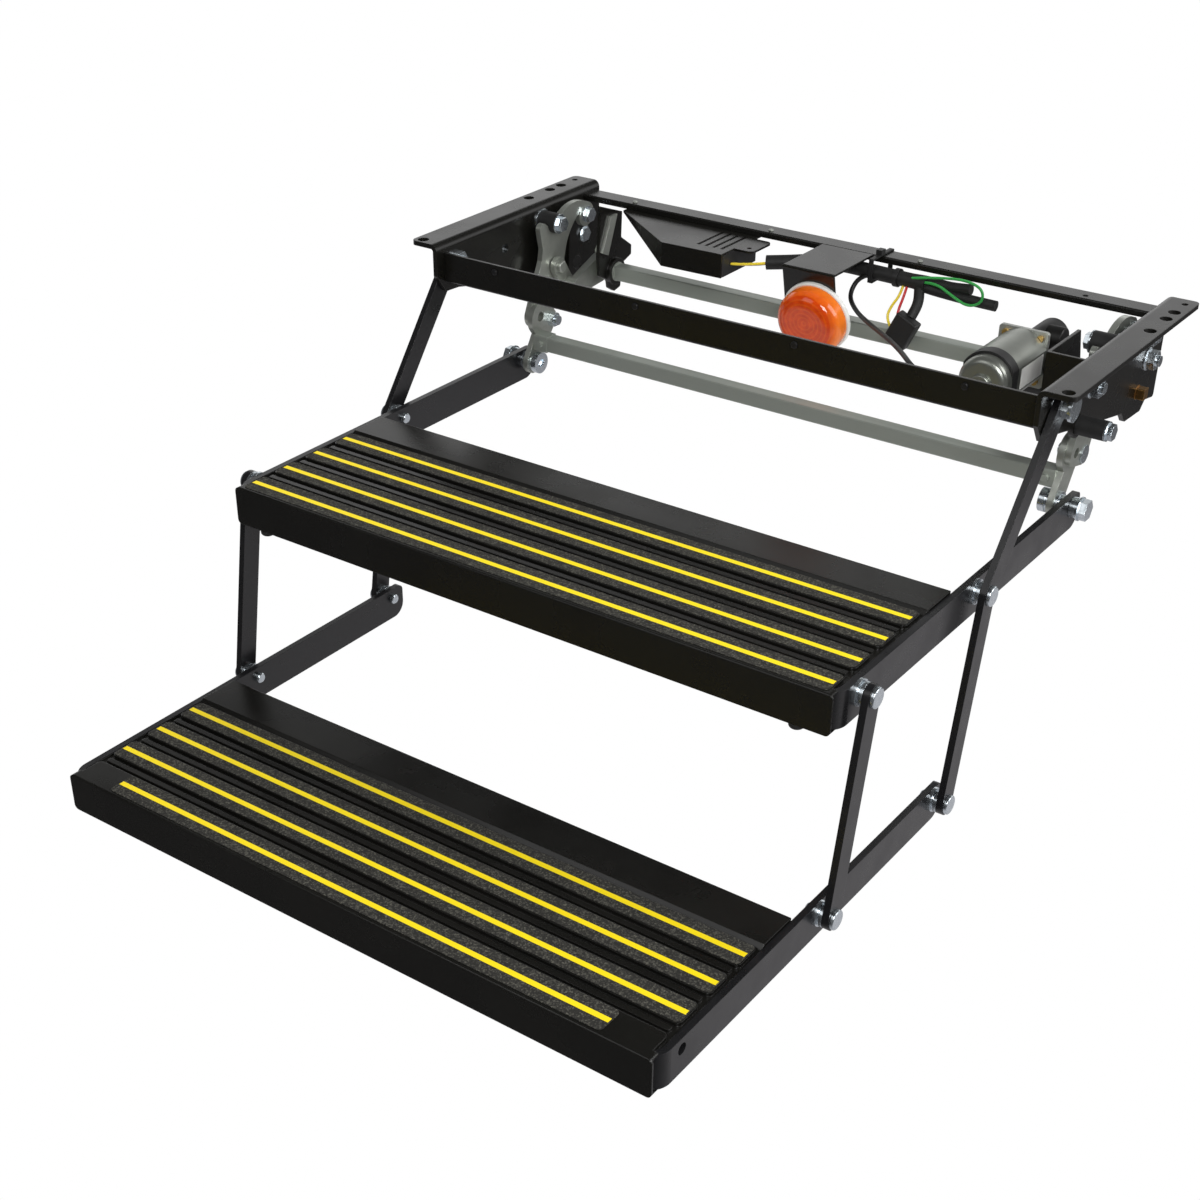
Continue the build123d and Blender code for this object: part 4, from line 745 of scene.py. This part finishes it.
@dataclass
class Studio:
    """Camera, lamps, floor and backdrop; angles are in degrees."""

    eye: Vector = Vector((0.82836, -1.45939, 0.56233))
    azimuth: float = 37.25
    elevation: float = 32.20
    roll: float = -0.52
    lens: float = 55.384
    sensor_width: float = 36.0
    shift: tuple[float, float] = (0.05, 0.10)
    floor_drop: float = 0.2
    floor_reach: float = 8.0
    floor_albedo: float = 0.92
    floor_roughness: float = 0.9
    floor_gloss_colour: str = "#f6f3f6"
    floor_reflection: float = 0.6
    floor_fade: tuple[float, float] = (-0.75, -0.35)
    floor_end: tuple[float, float] = (0.72, 1.05)
    floor_end_shade: float = 0.16
    backdrop_side: tuple[float, float] = (-0.2, 0.35)
    backdrop_top: tuple[float, float] = (0.40, 0.50)
    dark_side: float = 0.08
    dark_top: float = 0.06
    ambient: float = 0.45
    lamps: tuple[Softbox, ...] = (
        Softbox("key_softbox", (2.2, 0.6, 1.4), STEP_MIDDLE, size=1.6, power=27.0),
        Softbox("top_softbox", (-0.6, 0.9, 2.2), STEP_MIDDLE, size=2.0, power=33.0, glints=False),
        Softbox("front_softbox", (-0.8, -2.2, 1.6), STEP_MIDDLE, size=1.4, power=8.0),
        Softbox("fill_softbox", (1.3, -1.5, 1.1), (0.2, 0.0, -0.05), size=0.8, power=23.0))

    def camera(self) -> None:
        """Places the camera where the photograph was taken from."""
        data = bpy.data.cameras.new("photo_camera")
        data.lens = self.lens
        data.sensor_width = self.sensor_width
        data.shift_x, data.shift_y = self.shift
        holder = bpy.data.objects.new("photo_camera", data)
        tilt = Euler((math.radians(90 - self.elevation), 0, 0)).to_matrix()
        turn = Euler((0, 0, math.radians(self.azimuth))).to_matrix()
        roll = Euler((0, 0, math.radians(self.roll))).to_matrix()
        holder.matrix_world = Matrix.Translation(self.eye) @ (turn @ tilt @ roll).to_4x4()
        bpy.context.scene.collection.objects.link(holder)
        bpy.context.scene.camera = holder

    def floor_material(self) -> bpy.types.Material:
        """Makes a floor that the camera sees as white, and gloss as bright only below and behind the step.

        Returns:
            The floor's material.
        """
        material = bpy.data.materials.new("pale_floor")
        material.use_nodes = True
        tree = material.node_tree
        shader = tree.nodes["Principled BSDF"]
        shader.inputs["Base Color"].default_value = (*(self.floor_albedo,) * 3, 1.0)
        shader.inputs["Roughness"].default_value = self.floor_roughness
        path = add_node(tree, "ShaderNodeLightPath")
        seen = add_node(tree, "ShaderNodeMath", {"operation": "MAXIMUM"}, {
            0: path.outputs["Is Camera Ray"], 1: path.outputs["Is Transmission Ray"]})
        glow = add_node(tree, "ShaderNodeEmission", inputs={"Color": WHITE, "Strength": 1.0})
        place = add_node(tree, "ShaderNodeTexCoord")
        spot = add_node(tree, "ShaderNodeSeparateXYZ", inputs={0: place.outputs["Object"]})
        near = add_node(tree, "ShaderNodeMapRange", inputs={
            "Value": spot.outputs["Y"], "From Min": self.floor_fade[0], "From Max": self.floor_fade[1],
            "To Min": self.dark_side, "To Max": self.floor_reflection})
        far = add_node(tree, "ShaderNodeMapRange", inputs={
            "Value": spot.outputs["Y"], "From Min": self.floor_end[0], "From Max": self.floor_end[1],
            "To Min": 1.0, "To Max": self.floor_end_shade})
        strength = add_node(tree, "ShaderNodeMath", {"operation": "MULTIPLY"}, {
            0: near.outputs["Result"], 1: far.outputs["Result"]})
        mirrored = add_node(tree, "ShaderNodeEmission", inputs={
            "Color": linear(self.floor_gloss_colour), "Strength": strength.outputs[0]})
        lit = add_node(tree, "ShaderNodeMixShader", inputs={
            0: path.outputs["Is Glossy Ray"], 1: shader.outputs[0], 2: mirrored.outputs[0]})
        choice = add_node(tree, "ShaderNodeMixShader", inputs={
            0: seen.outputs[0], 1: lit.outputs[0], 2: glow.outputs[0]})
        tree.links.new(choice.outputs[0], tree.nodes["Material Output"].inputs["Surface"])
        return material

    def floor(self, low: Vector) -> None:
        """Lays a pale floor well below the step.

        Args:
            low: Lowest corner of the object.
        """
        mesh = bmesh.new()
        bmesh.ops.create_grid(mesh, x_segments=1, y_segments=1, size=self.floor_reach,
                              matrix=Matrix.Translation((0, 0, low[2] - self.floor_drop)))
        data = bpy.data.meshes.new("studio_floor")
        mesh.to_mesh(data)
        mesh.free()
        data.materials.append(self.floor_material())
        ground = bpy.data.objects.new("studio_floor", data)
        bpy.context.scene.collection.objects.link(ground)
        ground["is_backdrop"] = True

    def world(self) -> None:
        """Sets a plain pale surround whose reflection is a low bright backdrop behind the step."""
        world = bpy.data.worlds.new("studio_world")
        world.use_nodes = True
        bpy.context.scene.world = world
        tree = world.node_tree
        path = add_node(tree, "ShaderNodeLightPath")
        seen = add_node(tree, "ShaderNodeMath", {"operation": "MAXIMUM"}, {
            0: path.outputs["Is Camera Ray"], 1: path.outputs["Is Transmission Ray"]})
        place = add_node(tree, "ShaderNodeTexCoord")
        way = add_node(tree, "ShaderNodeSeparateXYZ", inputs={0: place.outputs["Generated"]})
        behind = add_node(tree, "ShaderNodeMapRange", inputs={
            "Value": way.outputs["Y"],
            "From Min": self.backdrop_side[0], "From Max": self.backdrop_side[1],
            "To Min": self.dark_side, "To Max": 1.0})
        below = add_node(tree, "ShaderNodeMapRange", inputs={
            "Value": way.outputs["Z"],
            "From Min": self.backdrop_top[0], "From Max": self.backdrop_top[1],
            "To Min": 1.0, "To Max": self.dark_top})
        mirrored = add_node(tree, "ShaderNodeMath", {"operation": "MULTIPLY"}, {
            0: behind.outputs["Result"], 1: below.outputs["Result"]})
        plain = add_node(tree, "ShaderNodeMapRange", inputs={
            "Value": seen.outputs[0], "To Min": self.ambient, "To Max": 1.0})
        strength = add_node(tree, "ShaderNodeMix", inputs={
            "Factor": path.outputs["Is Glossy Ray"], NUMBER_A: plain.outputs["Result"],
            NUMBER_B: mirrored.outputs[0]})
        background = tree.nodes["Background"]
        background.inputs["Color"].default_value = WHITE
        tree.links.new(strength.outputs[0], background.inputs["Strength"])

    def build(self, low: Vector) -> None:
        """Builds the whole studio.

        Args:
            low: Lowest corner of the object.
        """
        self.camera()
        self.world()
        self.floor(low)
        for lamp in self.lamps:
            lamp.build()
        bpy.context.scene.view_settings.view_transform = "Standard"


def main() -> None:
    """Builds every sub-assembly in order."""
    logging.basicConfig(level=logging.INFO, format="%(name)s: %(message)s")
    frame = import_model()
    cad_low, cad_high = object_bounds()
    dress_nodes(frame["nodes"])
    Tread("upper", "upper_step", "upper_grip_strips", "upper_tread", "upper_step_arm_right",
          first_half_length=0.297).build()
    Tread("lower", "lower_step", "lower_grip_strips", "lower_tread", "lower_step_arm_right",
          first_half_length=0.257).build()
    Frame().build()
    Motor().build()
    Wiring().build()
    Studio().build(Vector(cad_low))


if __name__ == "__main__":
    main()
